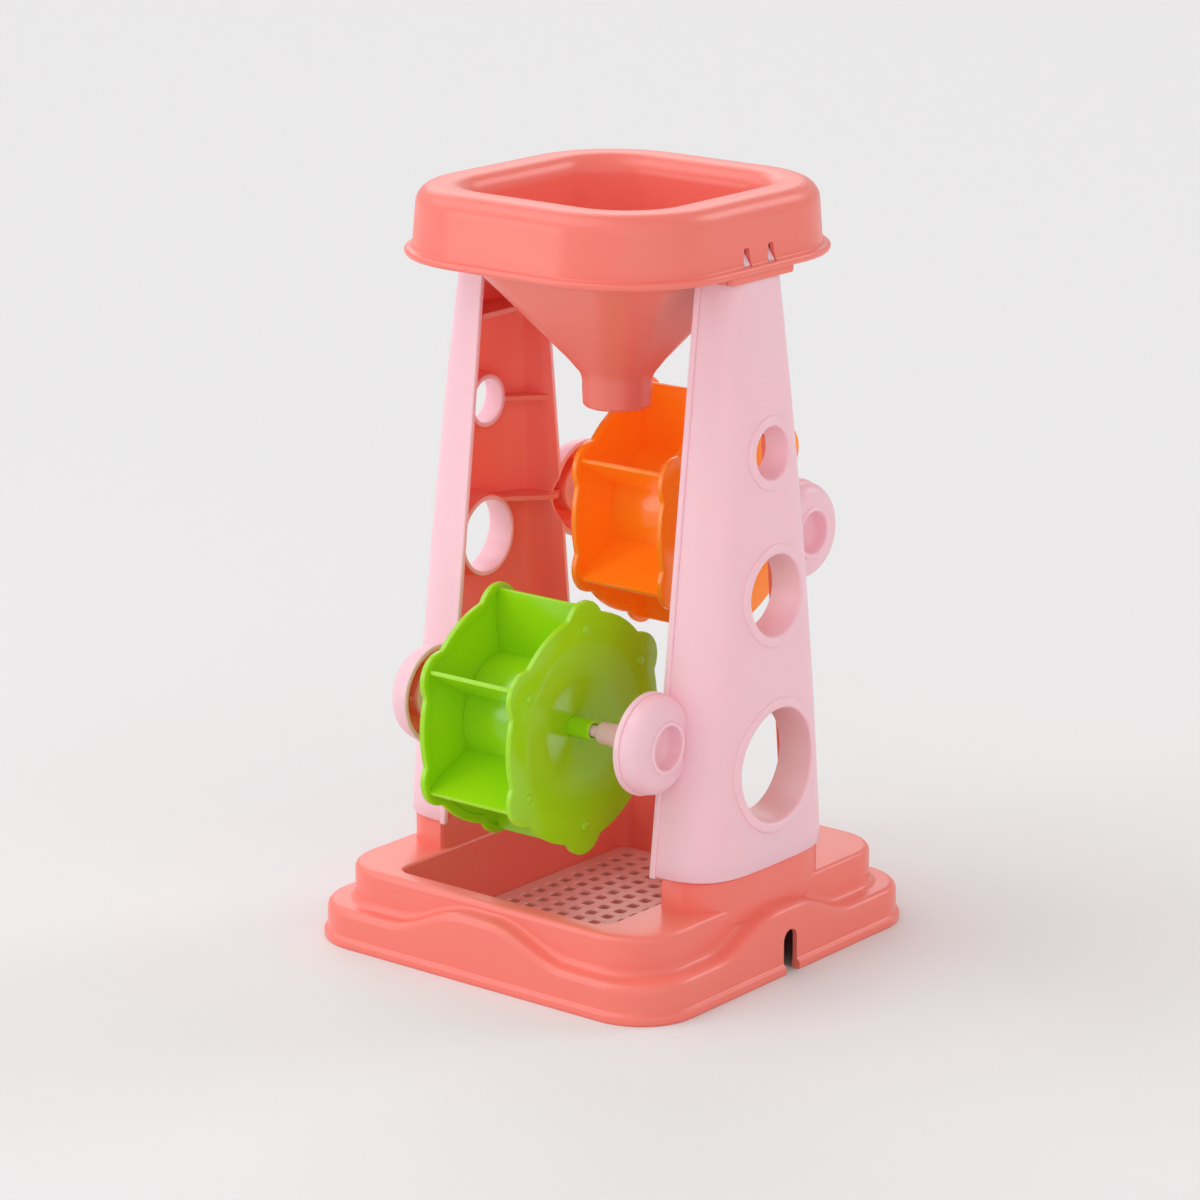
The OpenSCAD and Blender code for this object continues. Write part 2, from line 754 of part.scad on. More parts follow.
// Profile of the hopper, up the outside of the funnel, over the rim and back down inside
function hopper_rings() =
    let (slope = atan((mouth_w / 2 - neck_r) / funnel_h),
         lift = hopper_wall * tan(slope / 2),
         roll_z = rim_z - roll_r,
         roll_inset = lip_proud + skirt_draft,
         bowl_top_z = rim_z - mouth_roll_r)
    concat(
        [funnel_ring(0, neck_edge_r, neck_z), funnel_ring(0, 0, neck_z + neck_edge_r),
         funnel_ring(0, 0, neck_top_z), funnel_ring(1, 0, funnel_top_z),
         mouth_ring(-hopper_wall, bowl_top_z),
         lip_ring(roll_inset + hopper_wall, bowl_top_z),
         lip_ring(lip_proud + hopper_wall, hopper_z),
         lip_ring(lip_h / 4, hopper_z), lip_ring(0, hopper_z + lip_h / 4),
         lip_ring(0, hopper_z + lip_h * 3 / 4), lip_ring(lip_h / 4, hopper_z + lip_h),
         lip_ring(lip_proud, hopper_z + lip_h)],
        [for (a = [0:edge_step / 2:90])
            lip_ring(roll_inset + roll_r * (1 - cos(a)), roll_z + roll_r * sin(a))],
        [for (a = [0:edge_step:90])
            mouth_ring(-mouth_roll_r * (1 - sin(a)), rim_z - mouth_roll_r * (1 - cos(a)))],
        [funnel_ring(1, hopper_wall, funnel_top_z + lift),
         funnel_ring(0, hopper_wall, neck_top_z + lift),
         funnel_ring(0, hopper_wall, neck_z)]);

// Ribs and tab that take one upright's tongue, on the +X side
module tongue_pocket() {
    rib_y = tongue_w / 2 + fit_gap;
    bowl_x = mouth_w / 2 + hopper_wall - bowl_draft - pocket_bite / 2;
    skirt_x = skirt_inner_x + pocket_bite;
    for (side = [-1, 1])
        translate([bowl_x, side * (rib_y + pocket_rib_t / 2) - pocket_rib_t / 2, shoulder_z])
            cube([skirt_x - bowl_x, pocket_rib_t, tongue_h + pocket_headroom]);
    translate([skirt_inner_x, -rib_y - pocket_rib_t, shoulder_z])
        cube([hopper_wall, 2 * (rib_y + pocket_rib_t), tab_drop + lip_h / 2]);
}

// Keystone windows that the tongue's barbs snap into, on the +X side
module barb_windows() {
    slab_along_x(skirt_inner_x - hopper_wall - fit_gap, hopper_w / 2 + overrun)
        for (side = [-1, 1])
            translate([side * barb_y, hopper_z + window_lift])
                polygon([[-window_foot_w / 2, 0], [window_foot_w / 2, 0],
                         [window_head_w / 2, window_h], [-window_head_w / 2, window_h]]);
}

module hopper() {
    color(coral)
        difference() {
            union() {
                skin(hopper_rings(), looped = true);
                for (side = [0, 1]) mirror([side, 0, 0]) tongue_pocket();
            }
            for (side = [0, 1]) mirror([side, 0, 0]) barb_windows();
        }
}

base();
sieve_floor();
left_upright();
right_upright();
hopper();
lower_wheel_drum();
lower_wheel_left_disc();
lower_wheel_right_disc();
upper_wheel_drum();
upper_wheel_left_disc();
upper_wheel_right_disc();
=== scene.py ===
import json
import math
from functools import partial

import bmesh
import bpy
from bpy.props import FloatProperty, PointerProperty
from mathutils import Matrix, Vector


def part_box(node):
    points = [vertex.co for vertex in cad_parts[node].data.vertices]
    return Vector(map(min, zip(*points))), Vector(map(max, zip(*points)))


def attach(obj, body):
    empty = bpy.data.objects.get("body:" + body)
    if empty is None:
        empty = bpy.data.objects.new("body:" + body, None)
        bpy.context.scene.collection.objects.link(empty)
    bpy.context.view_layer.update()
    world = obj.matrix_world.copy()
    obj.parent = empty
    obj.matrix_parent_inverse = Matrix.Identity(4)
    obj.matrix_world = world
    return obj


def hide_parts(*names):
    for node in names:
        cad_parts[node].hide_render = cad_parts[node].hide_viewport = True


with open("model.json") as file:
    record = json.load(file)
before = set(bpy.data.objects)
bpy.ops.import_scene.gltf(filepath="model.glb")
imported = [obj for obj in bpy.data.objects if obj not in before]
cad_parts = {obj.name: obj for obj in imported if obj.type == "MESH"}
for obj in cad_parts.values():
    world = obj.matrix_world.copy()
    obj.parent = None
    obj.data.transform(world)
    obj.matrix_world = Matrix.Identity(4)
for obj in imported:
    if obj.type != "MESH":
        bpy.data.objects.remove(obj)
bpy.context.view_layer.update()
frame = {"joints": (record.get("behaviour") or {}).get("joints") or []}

bl_info = {
    "name": "Sand wheel toy",
    "version": (1, 0, 0),
    "blender": (4, 5, 0),
    "location": "3D View > Sidebar > Sand Wheel",
    "description": "Builds the moulded pieces of a sand wheel toy round its packed frame",
    "category": "Object",
}

MM = 0.001


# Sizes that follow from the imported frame, in millimetres

def node_box(node):
    """Lowest and highest corner of a CAD node, in millimetres."""
    low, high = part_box(node)
    return low / MM, high / MM


JOINTS = {joint["name"]: Vector(joint["pos_m"]) / MM for joint in frame["joints"]}
LOW_AXLE = JOINTS["lower_wheel_spin"]
HIGH_AXLE = JOINTS["upper_wheel_spin"]
AXLES = (LOW_AXLE, HIGH_AXLE)
BASE_LOW, BASE_HIGH = node_box("base")
SIEVE_LOW, SIEVE_HIGH = node_box("sieve_floor")
RIM_Z = node_box("hopper")[1].z

# Sizes measured in the photograph, in millimetres

DECK_W, DECK_D, DECK_R, DECK_H = 155.2, 160.6, 21.3, 30.8
BASE_W, BASE_D, BASE_R = BASE_HIGH.x - BASE_LOW.x, BASE_HIGH.y - BASE_LOW.y, 25
FLANGE_PROUD, FLANGE_H = 1.5, 4
LEDGE_H, HUMP_Z, HUMP_SPAN, HUMP_FLAT = 15.5, 26.4, 88, 6
TRAY_W, TRAY_D, TRAY_R, TRAY_DRAFT = 103.6, 143.4, 6.8, 1.5
FOOT_Z, UPRIGHT_H = 42.4, 228
SHOULDER_Z = FOOT_Z + UPRIGHT_H
INNER_X, D_STEPS = 51, 56
FOOT_W, SHOULDER_W, FOOT_T, SHOULDER_T = 86.2, 36.2, 29, 17.4
PORTS = [(40, 22.5), (107, 15.9), (162, 10.2)]
PORT_SETBACK, PORT_TAPER, PORT_WALL, PORT_STEPS = 13.3, 1.4, 1.8, 72
EAR_R, EAR_OUT_X, EAR_SIDE = 19.2, 62, 7
UPRIGHT_WALL, TONGUE_H, WINDOW_Y = 2.2, 13.6, 7.6


# Working by hand

def deselect():
    """Leaves edit mode and deselects everything."""
    if bpy.context.object and bpy.context.object.mode != "OBJECT":
        bpy.ops.object.mode_set(mode="OBJECT")
    bpy.ops.object.select_all(action="DESELECT")


def work_on(obj):
    """Makes one object the selected and active one."""
    deselect()
    obj.select_set(True)
    bpy.context.view_layer.objects.active = obj


def edit(obj, mode="VERT", select="SELECT"):
    """Opens an object in edit mode with all of it selected or not."""
    work_on(obj)
    bpy.ops.object.mode_set(mode="EDIT")
    bpy.ops.mesh.select_mode(type=mode)
    bpy.ops.mesh.select_all(action=select)
    return bmesh.from_edit_mesh(obj.data)


def pick(obj, mode, test):
    """Selects the edges or faces that pass a test, in edit mode."""
    mesh = edit(obj, mode, "DESELECT")
    for part in mesh.edges if mode == "EDGE" else mesh.faces:
        part.select_set(test(part))
    mesh.select_flush_mode()
    bmesh.update_edit_mesh(obj.data)


def merge_and_turn_out():
    """Merges doubles, points the faces outwards and leaves edit mode."""
    bpy.ops.mesh.select_all(action="SELECT")
    bpy.ops.mesh.remove_doubles(threshold=1e-4)
    bpy.ops.mesh.normals_make_consistent(inside=False)
    bpy.ops.object.mode_set(mode="OBJECT")


def loft(rings, closed=False):
    """Extrudes a ring of vertices from outline to outline. Open lofts get flat ends."""
    count = len(rings[0])
    deselect()
    bpy.ops.mesh.primitive_circle_add(vertices=count)
    obj = bpy.context.object
    mesh = edit(obj, "EDGE")
    row = list(range(count))
    for k, ring in enumerate(rings + ([rings[0]] if closed else [])):
        if k:
            known = len(mesh.verts)
            bpy.ops.mesh.extrude_edges_indiv()
            mesh = bmesh.from_edit_mesh(obj.data)
            mesh.verts.index_update()
            mesh.verts.ensure_lookup_table()
            row = [next(other.index for other in (edge.other_vert(mesh.verts[i])
                                                  for edge in mesh.verts[i].link_edges)
                        if other.index >= known) for i in row]
        else:
            mesh.verts.ensure_lookup_table()
        for index, point in zip(row, ring):
            mesh.verts[index].co = point
    if not closed:
        for chosen in (set(range(count)), set(row)):
            bpy.ops.mesh.select_all(action="DESELECT")
            mesh = bmesh.from_edit_mesh(obj.data)
            for edge in mesh.edges:
                edge.select_set(all(vert.index in chosen for vert in edge.verts))
            bpy.ops.mesh.edge_face_add()
    bmesh.update_edit_mesh(obj.data)
    merge_and_turn_out()
    return obj


def turned(profile, centre, steps=96):
    """Spins a profile of (distance along X, radius) points about an axle along X.

    A profile that starts and ends on the axle stays open there."""
    deselect()
    bpy.ops.mesh.primitive_circle_add(vertices=len(profile))
    obj = bpy.context.object
    mesh = edit(obj, "EDGE")
    mesh.verts.ensure_lookup_table()
    for vert, (x, r) in zip(mesh.verts, profile):
        vert.co = (centre[0] + x, centre[1], centre[2] + r)
    if profile[0][1] == profile[-1][1] == 0:
        ends = {0, len(profile) - 1}
        for edge in mesh.edges:
            edge.select_set({vert.index for vert in edge.verts} == ends)
        bmesh.update_edit_mesh(obj.data)
        bpy.ops.mesh.delete(type="EDGE")
        bpy.ops.mesh.select_all(action="SELECT")
    bpy.ops.mesh.spin(steps=steps, angle=math.tau, center=centre, axis=(1, 0, 0))
    merge_and_turn_out()
    return obj


def apply_modifier(obj, kind, **settings):
    """Adds a modifier with its settings and applies it."""
    work_on(obj)
    bpy.ops.object.modifier_add(type=kind)
    modifier = obj.modifiers[-1]
    for key, value in settings.items():
        setattr(modifier, key, value)
    bpy.ops.object.modifier_apply(modifier=modifier.name)


def add(obj, *tools, operation="UNION"):
    """Joins solids to a solid, and uses them up."""
    for tool in tools:
        apply_modifier(obj, "BOOLEAN", operation=operation, solver="MANIFOLD", object=tool)
        bpy.data.meshes.remove(tool.data)
    return obj


def cut(obj, *tools):
    """Cuts solids out of a solid, and uses them up."""
    return add(obj, *tools, operation="DIFFERENCE")


def block(low, high):
    """Cuboid between two corners, for the ribs."""
    return loft([[(low[0], low[1], z), (high[0], low[1], z), (high[0], high[1], z),
                  (low[0], high[1], z)] for z in (low[2], high[2])])


def copy_of(obj):
    """A copy with its own mesh."""
    work_on(obj)
    bpy.ops.object.duplicate(linked=False)
    return bpy.context.object


def turn(obj, degrees, centre):
    """Turns a mesh about an axle. With no window the operator turns the other way."""
    edit(obj)
    bpy.ops.transform.rotate(value=math.radians(-degrees), orient_axis="X",
                             center_override=centre)
    bpy.ops.object.mode_set(mode="OBJECT")
    return obj


def mirror(obj):
    """Moves a solid to the other side of the toy's middle plane."""
    edit(obj)
    bpy.ops.transform.mirror(orient_type="GLOBAL", constraint_axis=(True, False, False),
                             center_override=(0, 0, 0))
    bpy.ops.mesh.normals_make_consistent(inside=False)
    bpy.ops.object.mode_set(mode="OBJECT")
    return obj


def finish_piece(obj, body, node, *finishes, name=None):
    """Names a piece, brings it to metres, smooths it and puts it on its body."""
    obj.name = name or node + "_moulding"
    edit(obj)
    bpy.ops.transform.resize(value=(MM, MM, MM), center_override=(0, 0, 0))
    bpy.ops.object.mode_set(mode="OBJECT")
    # The Boolean steps leave empty slots, which go without the faces' own choice
    chosen = [face.material_index for face in obj.data.polygons]
    obj.data.materials.clear()
    for finish in finishes:
        obj.data.materials.append(MATERIALS[finish])
    obj.data.polygons.foreach_set("material_index", chosen)
    bpy.ops.object.shade_smooth_by_angle(angle=math.radians(35))
    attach(obj, body)
    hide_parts(node)


# Outlines

def arc(start, end, steps):
    """Angles in radians from start to end degrees."""
    return [math.radians(start + (end - start) * k / steps) for k in range(steps + 1)]


def rounding(steps, start=0, end=90):
    """Shares of a radius, inwards and down, along a rounded edge from its side to its top."""
    return [(1 - math.cos(a), 1 - math.sin(a)) for a in arc(start, end, steps)]


def hump_share(distance):
    """Share of a hump's height at a distance from its middle."""
    run = max(0, abs(distance) - HUMP_FLAT) / (HUMP_SPAN / 2 - HUMP_FLAT)
    return (1 + math.cos(math.pi * run)) / 2 if run < 1 else 0


def rounded_ring(w, d, r, inset, z, crest=None, corner_steps=12, side_steps=40):
    """Rounded rectangle at height z. Its sides rise to height crest in their middle."""
    half_w, half_d, r = w / 2 - inset, d / 2 - inset, r - inset
    points = []
    crest = z if crest is None else crest
    centres = [(sx * (half_w - r), sy * (half_d - r))
               for sx, sy in ((1, 1), (-1, 1), (-1, -1), (1, -1))]
    for q, (cx, cy) in enumerate(centres):
        points += [(cx + r * math.cos(a), cy + r * math.sin(a), z)
                   for a in arc(90 * q, 90 * q + 90, corner_steps)]
        (x0, y0), (next_x, next_y) = points[-1][:2], centres[(q + 1) % 4]
        for k in range(1, side_steps + 1):
            share = k / (side_steps + 1)
            x, y = x0 + (next_x - cx) * share, y0 + (next_y - cy) * share
            rise = hump_share(x if q % 2 == 0 else y)
            points.append((x, y, z + (crest - z) * rise))
    return points


def upright_w(h):
    """Width of an upright at a height above its foot."""
    return FOOT_W + (SHOULDER_W - FOOT_W) * h / UPRIGHT_H


def upright_t(h):
    """Thickness of an upright at a height above its foot."""
    return FOOT_T + (SHOULDER_T - FOOT_T) * (max(0, h) / UPRIGHT_H) ** 2


def d_outline(w, t, z, back=0, bow=0.0, flare=0.0):
    """Section of an upright: a D with a bowed outer face, closed behind the inner plane.

    A bow creases it between its sides and its face. A flare widens its open side."""
    points = []
    for a in arc(-90, 90, D_STEPS):
        s = math.sin(a)
        reach = min(max(0, math.cos(a)) ** (2 / 3), 1 - bow * abs(s))
        points.append((INNER_X + t * reach, w / 2 * math.copysign(abs(s) ** 0.5, s), z))
    half = w / 2 + flare
    points[0], points[-1] = (INNER_X, -half, z), (INNER_X, half, z)
    # With no depth behind the inner plane, its two ends are there already
    return points + [(INNER_X - back, half - 2 * half * k / 6, z)
                     for k in (range(7) if back else range(1, 6))]


def face_x(y, z, inset=0):
    """Outer face of an upright, or a face inset from it, at a place in its front view."""
    h = z - FOOT_Z
    s = min(1, abs(y) / (upright_w(h) / 2 - inset))
    return INNER_X + (upright_t(h) - inset) * (1 - s ** 4) ** (1 / 3)


# Base

wall_ring = partial(rounded_ring, BASE_W - 2 * FLANGE_PROUD, BASE_D - 2 * FLANGE_PROUD,
                    BASE_R - FLANGE_PROUD)
deck_ring = partial(rounded_ring, DECK_W, DECK_D, DECK_R)
tray_ring = partial(rounded_ring, TRAY_W, TRAY_D, TRAY_R)


def base_rings():
    """Profile of the base: up the outside, over the deck, down the tray and back below."""
    sole_edge, flange_edge, ledge_edge, deck_edge, tray_edge = 1.1, 1.5, 3.4, 2.6, 1.2
    fillet, crest_fillet, wall = 3.2, 1.4, 2
    seat_z, seat_in, seat_low_z = 2.6, 2.2 + TRAY_DRAFT, 1
    rings = [wall_ring(2.5, 0), wall_ring(sole_edge / 2 + 0.05 - FLANGE_PROUD, 0)]
    rings += [wall_ring(sole_edge * down - FLANGE_PROUD, sole_edge * run)
              for run, down in rounding(3, 30)]
    rings += [wall_ring(flange_edge * run - FLANGE_PROUD, FLANGE_H - flange_edge * down)
              for run, down in rounding(5, 0, 75)]
    rings += [wall_ring(0, FLANGE_H + 0.5), wall_ring(0, FLANGE_H * 1.5),
              wall_ring(0, (FLANGE_H + LEDGE_H) / 2, (FLANGE_H + HUMP_Z) / 2)]
    rings += [wall_ring(ledge_edge * run, LEDGE_H - ledge_edge * down,
                        HUMP_Z - ledge_edge * down) for run, down in rounding(8)]
    # The crease round the deck is shallower where a hump reaches the deck's edge
    rings += [deck_ring(-fillet * down, LEDGE_H + fillet * run, HUMP_Z + crest_fillet * run)
              for run, down in rounding(8)]
    rings += [deck_ring(deck_edge * run, DECK_H - deck_edge * down)
              for run, down in rounding(7)]
    rings += [tray_ring(-tray_edge * down, DECK_H - tray_edge * run)
              for run, down in rounding(6)]
    rings += [tray_ring(TRAY_DRAFT, seat_z), tray_ring(seat_in, seat_z),
              tray_ring(seat_in, seat_low_z), tray_ring(-wall, seat_low_z),
              tray_ring(-wall, DECK_H - wall), deck_ring(wall, DECK_H - wall),
              deck_ring(wall, LEDGE_H - wall, HUMP_Z - wall),
              wall_ring(wall, LEDGE_H - wall, HUMP_Z - wall), wall_ring(wall, FLANGE_H)]
    return rings


def collar_outline(inset, z, inner_x):
    """D section of the collar under an upright, flat on the side of the tray."""
    half, t, corner = (FOOT_W - 1) / 2 - inset, FOOT_T - inset + 0.6, 0.9
    edge = half - corner
    points = []
    for x, y, z in d_outline(2 * half, t, z)[:D_STEPS + 1]:
        past_edge = max(0, abs(y) - edge)
        low = inner_x + corner - math.sqrt(max(0, corner ** 2 - past_edge ** 2))
        points.append((max(x, low), y, z))
    return points + [(inner_x, edge * (1 - 2 * k / 8), z) for k in range(9)]


def make_collar():
    """Collar and tenon that one upright stands on, with the hollow under them."""
    face, inset, play, wall, top = INNER_X + 3.5, 1.4, 2.6, 2.4, FOOT_Z + 12
    collar = loft([collar_outline(inset, z, face) for z in (HUMP_Z - 2, 28, FOOT_Z - 0.6)]
                  + [collar_outline(inset + 0.4, FOOT_Z, face + 0.3)])
    tenon = loft([collar_outline(play, FOOT_Z - 1, face + 0.4),
                  collar_outline(play + 0.8, top - 1, face + 0.4),
                  collar_outline(play + 1.6, top, face + 1.2)])
    hollow = loft([collar_outline(play + wall, z, face + wall) for z in (4, top - wall)])
    return add(collar, tenon), hollow


def make_base():
    """The base: its shell, the two collars and the two drain notches."""
    shell = loft(base_rings(), closed=True)
    for side in (1, -1):
        collar, hollow = make_collar()
        if side < 0:
            mirror(collar)
            mirror(hollow)
        cut(add(shell, collar), hollow)
    notch_r, notch_h, depth = 4.3, 17.5, 12
    top = notch_h - notch_r
    arch = ([(notch_r, -1), (notch_r, top / 2)]
            + [(notch_r * math.cos(a), top + notch_r * math.sin(a)) for a in arc(0, 180, 20)]
            + [(-notch_r, top / 2), (-notch_r, -1)])
    for side in (1, -1):
        cut(shell, loft([[(side * x, y, z) for y, z in arch]
                         for x in (BASE_W / 2 - depth, BASE_W / 2 + 2)]))
    return shell


# Sieve floor

def make_sieve(hole_w, pitch):
    """Plate of rounded square holes: one cell, repeated and framed."""
    top, low = SIEVE_HIGH.z, SIEVE_LOW.z
    half_w, half_d = SIEVE_HIGH.x - TRAY_DRAFT, SIEVE_HIGH.y - TRAY_DRAFT
    r, border = TRAY_R - 0.2 - TRAY_DRAFT, 6.4
    columns, rows = (int(2 * (half - border) / pitch) + 1 for half in (half_w, half_d))
    middle_x, middle_y = -(columns - 1) / 2 * pitch, -(rows - 1) / 2 * pitch
    side = 4

    def cell_ring(half, rounded, z):
        """Square of the first cell, sharp or with cut corners."""
        points = []
        for k in range(4 * side):
            quarter, share = math.radians(90 * (k // side)), k % side / side
            x, y = half, half * (2 * share - 1)
            if rounded:
                a = math.radians(-45 + 90 * share)
                reach = half * min(1 / math.cos(a), 1.22)
                x, y = reach * math.cos(a), reach * math.sin(a)
            points.append((middle_x + x * math.cos(quarter) - y * math.sin(quarter),
                           middle_y + x * math.sin(quarter) + y * math.cos(quarter), z))
        return points

    rings = [cell_ring(pitch / 2, False, low), cell_ring(hole_w / 2, True, low),
             cell_ring(hole_w / 2, True, top - 0.35), cell_ring(hole_w / 2 + 0.3, True, top),
             cell_ring(pitch / 2, False, top)]
    cell = loft(rings)
    pick(cell, "FACE", lambda face: len(face.verts) == 4 * side)
    bpy.ops.mesh.delete(type="ONLY_FACE")
    for count, step in ((columns, (pitch, 0, 0)), (rows, (0, pitch, 0))):
        apply_modifier(cell, "ARRAY", count=count, use_relative_offset=False,
                       use_constant_offset=True, constant_offset_displace=step,
                       use_merge_vertices=True, merge_threshold=0.01)
    field_w, field_d = columns * pitch / 2, rows * pitch / 2

    def on_outline(x, y, inset):
        """Point of the plate's outline that belongs to a point of the field's edge."""
        w, d, corner = half_w - inset, half_d - inset, r - inset
        x, y = x * w / field_w, y * d / field_d
        cx, cy = w - corner, d - corner
        if abs(x) > cx and abs(y) > cy:
            away = Vector((abs(x) - cx, abs(y) - cy)).normalized() * corner
            return math.copysign(cx + away.x, x), math.copysign(cy + away.y, y)
        return x, y

    def outwards(x, y):
        """Direction away from the plate at a point of its outline."""
        cx, cy = half_w - r, half_d - r
        if abs(x) > cx and abs(y) > cy:
            away = Vector((abs(x) - cx, abs(y) - cy)).normalized()
            return math.copysign(away.x, x), math.copysign(away.y, y)
        return (math.copysign(1, x), 0) if abs(x) > half_w - 1 else (0, math.copysign(1, y))

    edge_r = 0.4
    for z, inner_z in ((top, top - edge_r), (low, low + edge_r)):
        pick(cell, "EDGE", lambda edge: edge.is_boundary
             and all(abs(v.co.z - z) < 1e-3 for v in edge.verts))
        for step in (0, 1):
            bpy.ops.mesh.extrude_edges_indiv()
            mesh = bmesh.from_edit_mesh(cell.data)
            for vert in mesh.verts:
                if vert.select and step == 0:
                    vert.co.x, vert.co.y = on_outline(vert.co.x, vert.co.y, edge_r)
                elif vert.select:
                    dx, dy = outwards(vert.co.x, vert.co.y)
                    vert.co += Vector((dx * edge_r, dy * edge_r, inner_z - z))
            bmesh.update_edit_mesh(cell.data)
        bpy.ops.object.mode_set(mode="OBJECT")
    pick(cell, "EDGE", lambda edge: edge.is_boundary)
    bpy.ops.mesh.bridge_edge_loops()
    merge_and_turn_out()
    return cell


# Uprights

def side_path(side, axle, grow):
    """Side edge of an upright in its front view, up round its ear, grown sideways."""
    radius = EAR_R + grow
    slope = side * (SHOULDER_W - FOOT_W) / 2 / UPRIGHT_H

    def edge_y(z):
        return side * (FOOT_W / 2 + grow) + slope * (z - FOOT_Z)

    # The edge meets the ear's circle at two heights
    off = edge_y(axle[2]) - axle[1]
    half_b, square = off * slope, 1 + slope ** 2
    root = math.sqrt(half_b ** 2 - square * (off ** 2 - radius ** 2))
    low, high = [axle[2] + (-half_b + sign * root) / square for sign in (-1, 1)]
    start, end = [math.degrees(math.atan2(z - axle[2], (edge_y(z) - axle[1]) * side))
                  for z in (low, high)]
    heights = [FOOT_Z + (low - FOOT_Z) * k / 12 for k in range(12)]
    points = [(edge_y(z), z) for z in heights]
    points += [(axle[1] + side * radius * math.cos(a), axle[2] + radius * math.sin(a))
               for a in arc(start, end, 40)]
    heights = [high + (SHOULDER_Z - high) * k / 12 for k in range(1, 13)]
    return points + [(edge_y(z), z) for z in heights]


def rim_strip(side, axle):
    """Narrow proud band along one side edge of an upright and round its ear."""
    proud, width, edge = 0.8, 2.5, 0.35
    section = [(0, -0.6), (0, proud - edge), (edge, proud), (width - edge, proud),
               (width, proud - edge), (width, -0.6)]
    paths = [side_path(side, axle, grow) for x, grow in section]
    return loft([[(INNER_X + x, *point) for (x, grow), point in zip(section, points)]
                 for points in zip(*paths)])


def body_rings(grow, low, high, back=0, foot_round=0.0, bow=0.0, flare=0.0):
    """Sections of an upright's body from one height to another."""
    steps, foot_edge = 38, foot_round * 0.3

    def section(h, size, z):
        return d_outline(upright_w(h) + 2 * size, upright_t(h) + size, FOOT_Z + z, back, bow,
                         flare)

    rings = [section(h, grow, h) for h in (low + (high - low) * k / steps
                                           for k in range(steps + 1))]
    if foot_round:
        h = low + foot_round
        rings[:1] = [section(low, grow - foot_round, low),
                     section(h, grow - foot_edge, low + foot_edge), section(h, grow, h)]
    return rings


def ear_profile(inset, from_x, flare=0.0):
    """Ear in distance along X and radius, with a broad round outer edge."""
    r, out, edge_x, edge_r = EAR_R - inset, EAR_OUT_X - inset, EAR_SIDE - inset, 6 - inset
    lip = [(INNER_X, r + flare), (INNER_X + 3.7, r)] if flare else []
    return ([(from_x, 0), (from_x, r + flare)] + lip
            + [(out - edge_x * down, r - edge_r * run) for run, down in rounding(12)]
            + [(out, 0)])


def bearing_profile():
    """Dimple with its bead, the cup behind it, the tapered stub and the pin."""
    dimple_r, floor_x, wall, bead_r = 8.5, EAR_OUT_X - 6.5, UPRIGHT_WALL, 1.0
    cup_x = floor_x - wall
    pin_x, pin_r, stub_x, tip_r, tip_edge, root_r = 13.5, 2.2, 29.8, 4.3, 1.4, 5
    points = [(pin_x, 0), (pin_x, pin_r - 0.5), (pin_x + 0.5, pin_r), (stub_x, pin_r)]
    points += [(stub_x + tip_edge * run, tip_r - tip_edge * down)
               for run, down in rounding(7, 0, 80)]
    points += [(cup_x - 2.2, root_r), (cup_x - 0.8, root_r + 0.5), (cup_x, root_r + 1.8),
               (cup_x, dimple_r + wall - 0.6), (cup_x + 0.6, dimple_r + wall),
               (EAR_OUT_X - 0.8, dimple_r + wall)]
    points += [(EAR_OUT_X + 0.8 * math.sin(a), dimple_r + bead_r + bead_r * math.cos(a))
               for a in arc(0, 180, 10)]
    points += [(floor_x + 3, dimple_r - 0.2)]
    points += [(floor_x + 3 * down, dimple_r - 0.3 - 3 * run) for run, down in rounding(8)]
    return points + [(floor_x, 0)]


def port_sleeve(height, radius):
    """Bead round a porthole that follows the bowed face, in one with its tapered tube."""
    bead_w, proud, inner_edge = 4.0, 0.9, 1.2
    tube_x, tube_r = INNER_X + PORT_SETBACK, radius - PORT_TAPER

    def at(angle, rho, lift=None, x=None):
        y, z = rho * math.cos(angle), FOOT_Z + height + rho * math.sin(angle)
        return (face_x(y, z) + lift if x is None else x, y, z)

    rings = []
    for k in range(PORT_STEPS):
        angle = math.tau * k / PORT_STEPS
        ring = [at(angle, tube_r, x=tube_x + 0.6), at(angle, radius, lift=-1.4)]
        ring += [at(angle, radius + inner_edge * run, lift=proud - inner_edge * down)
                 for run, down in rounding(5)]
        ring += [at(angle, radius + bead_w - run, lift=proud - down)
                 for run, down in rounding(5, 80, 0)]
        ring += [at(angle, radius + bead_w, lift=-1.0), at(angle, radius + PORT_WALL, lift=-1.0)]
        ring += [at(angle, tube_r + r, x=tube_x + x)
                 for r, x in ((PORT_WALL, 0.6), (PORT_WALL - 0.2, 0.2), (PORT_WALL - 0.6, 0),
                              (0.6, 0), (0.2, 0.2))]
        rings.append(ring)
    return loft(rings, closed=True)


def port_cone(height, radius):
    """Cut down the middle of a porthole's tube wall."""
    middle, near, far = radius + PORT_WALL / 2, INNER_X - 3, INNER_X + 34
    return turned([(near, 0), (near, middle - PORT_TAPER),
                   (INNER_X + PORT_SETBACK, middle - PORT_TAPER),
                   (INNER_X + upright_t(height) - 1.4, middle), (far, middle), (far, 0)],
                  (0, 0, FOOT_Z + height), steps=PORT_STEPS)


def dimple_cut(axle, radius):
    """Cut through the outer end of an ear, where the bearing goes."""
    near, far = EAR_OUT_X - 8, EAR_OUT_X + 20
    return turned([(near, 0), (near, radius), (far, radius), (far, 0)], axle)


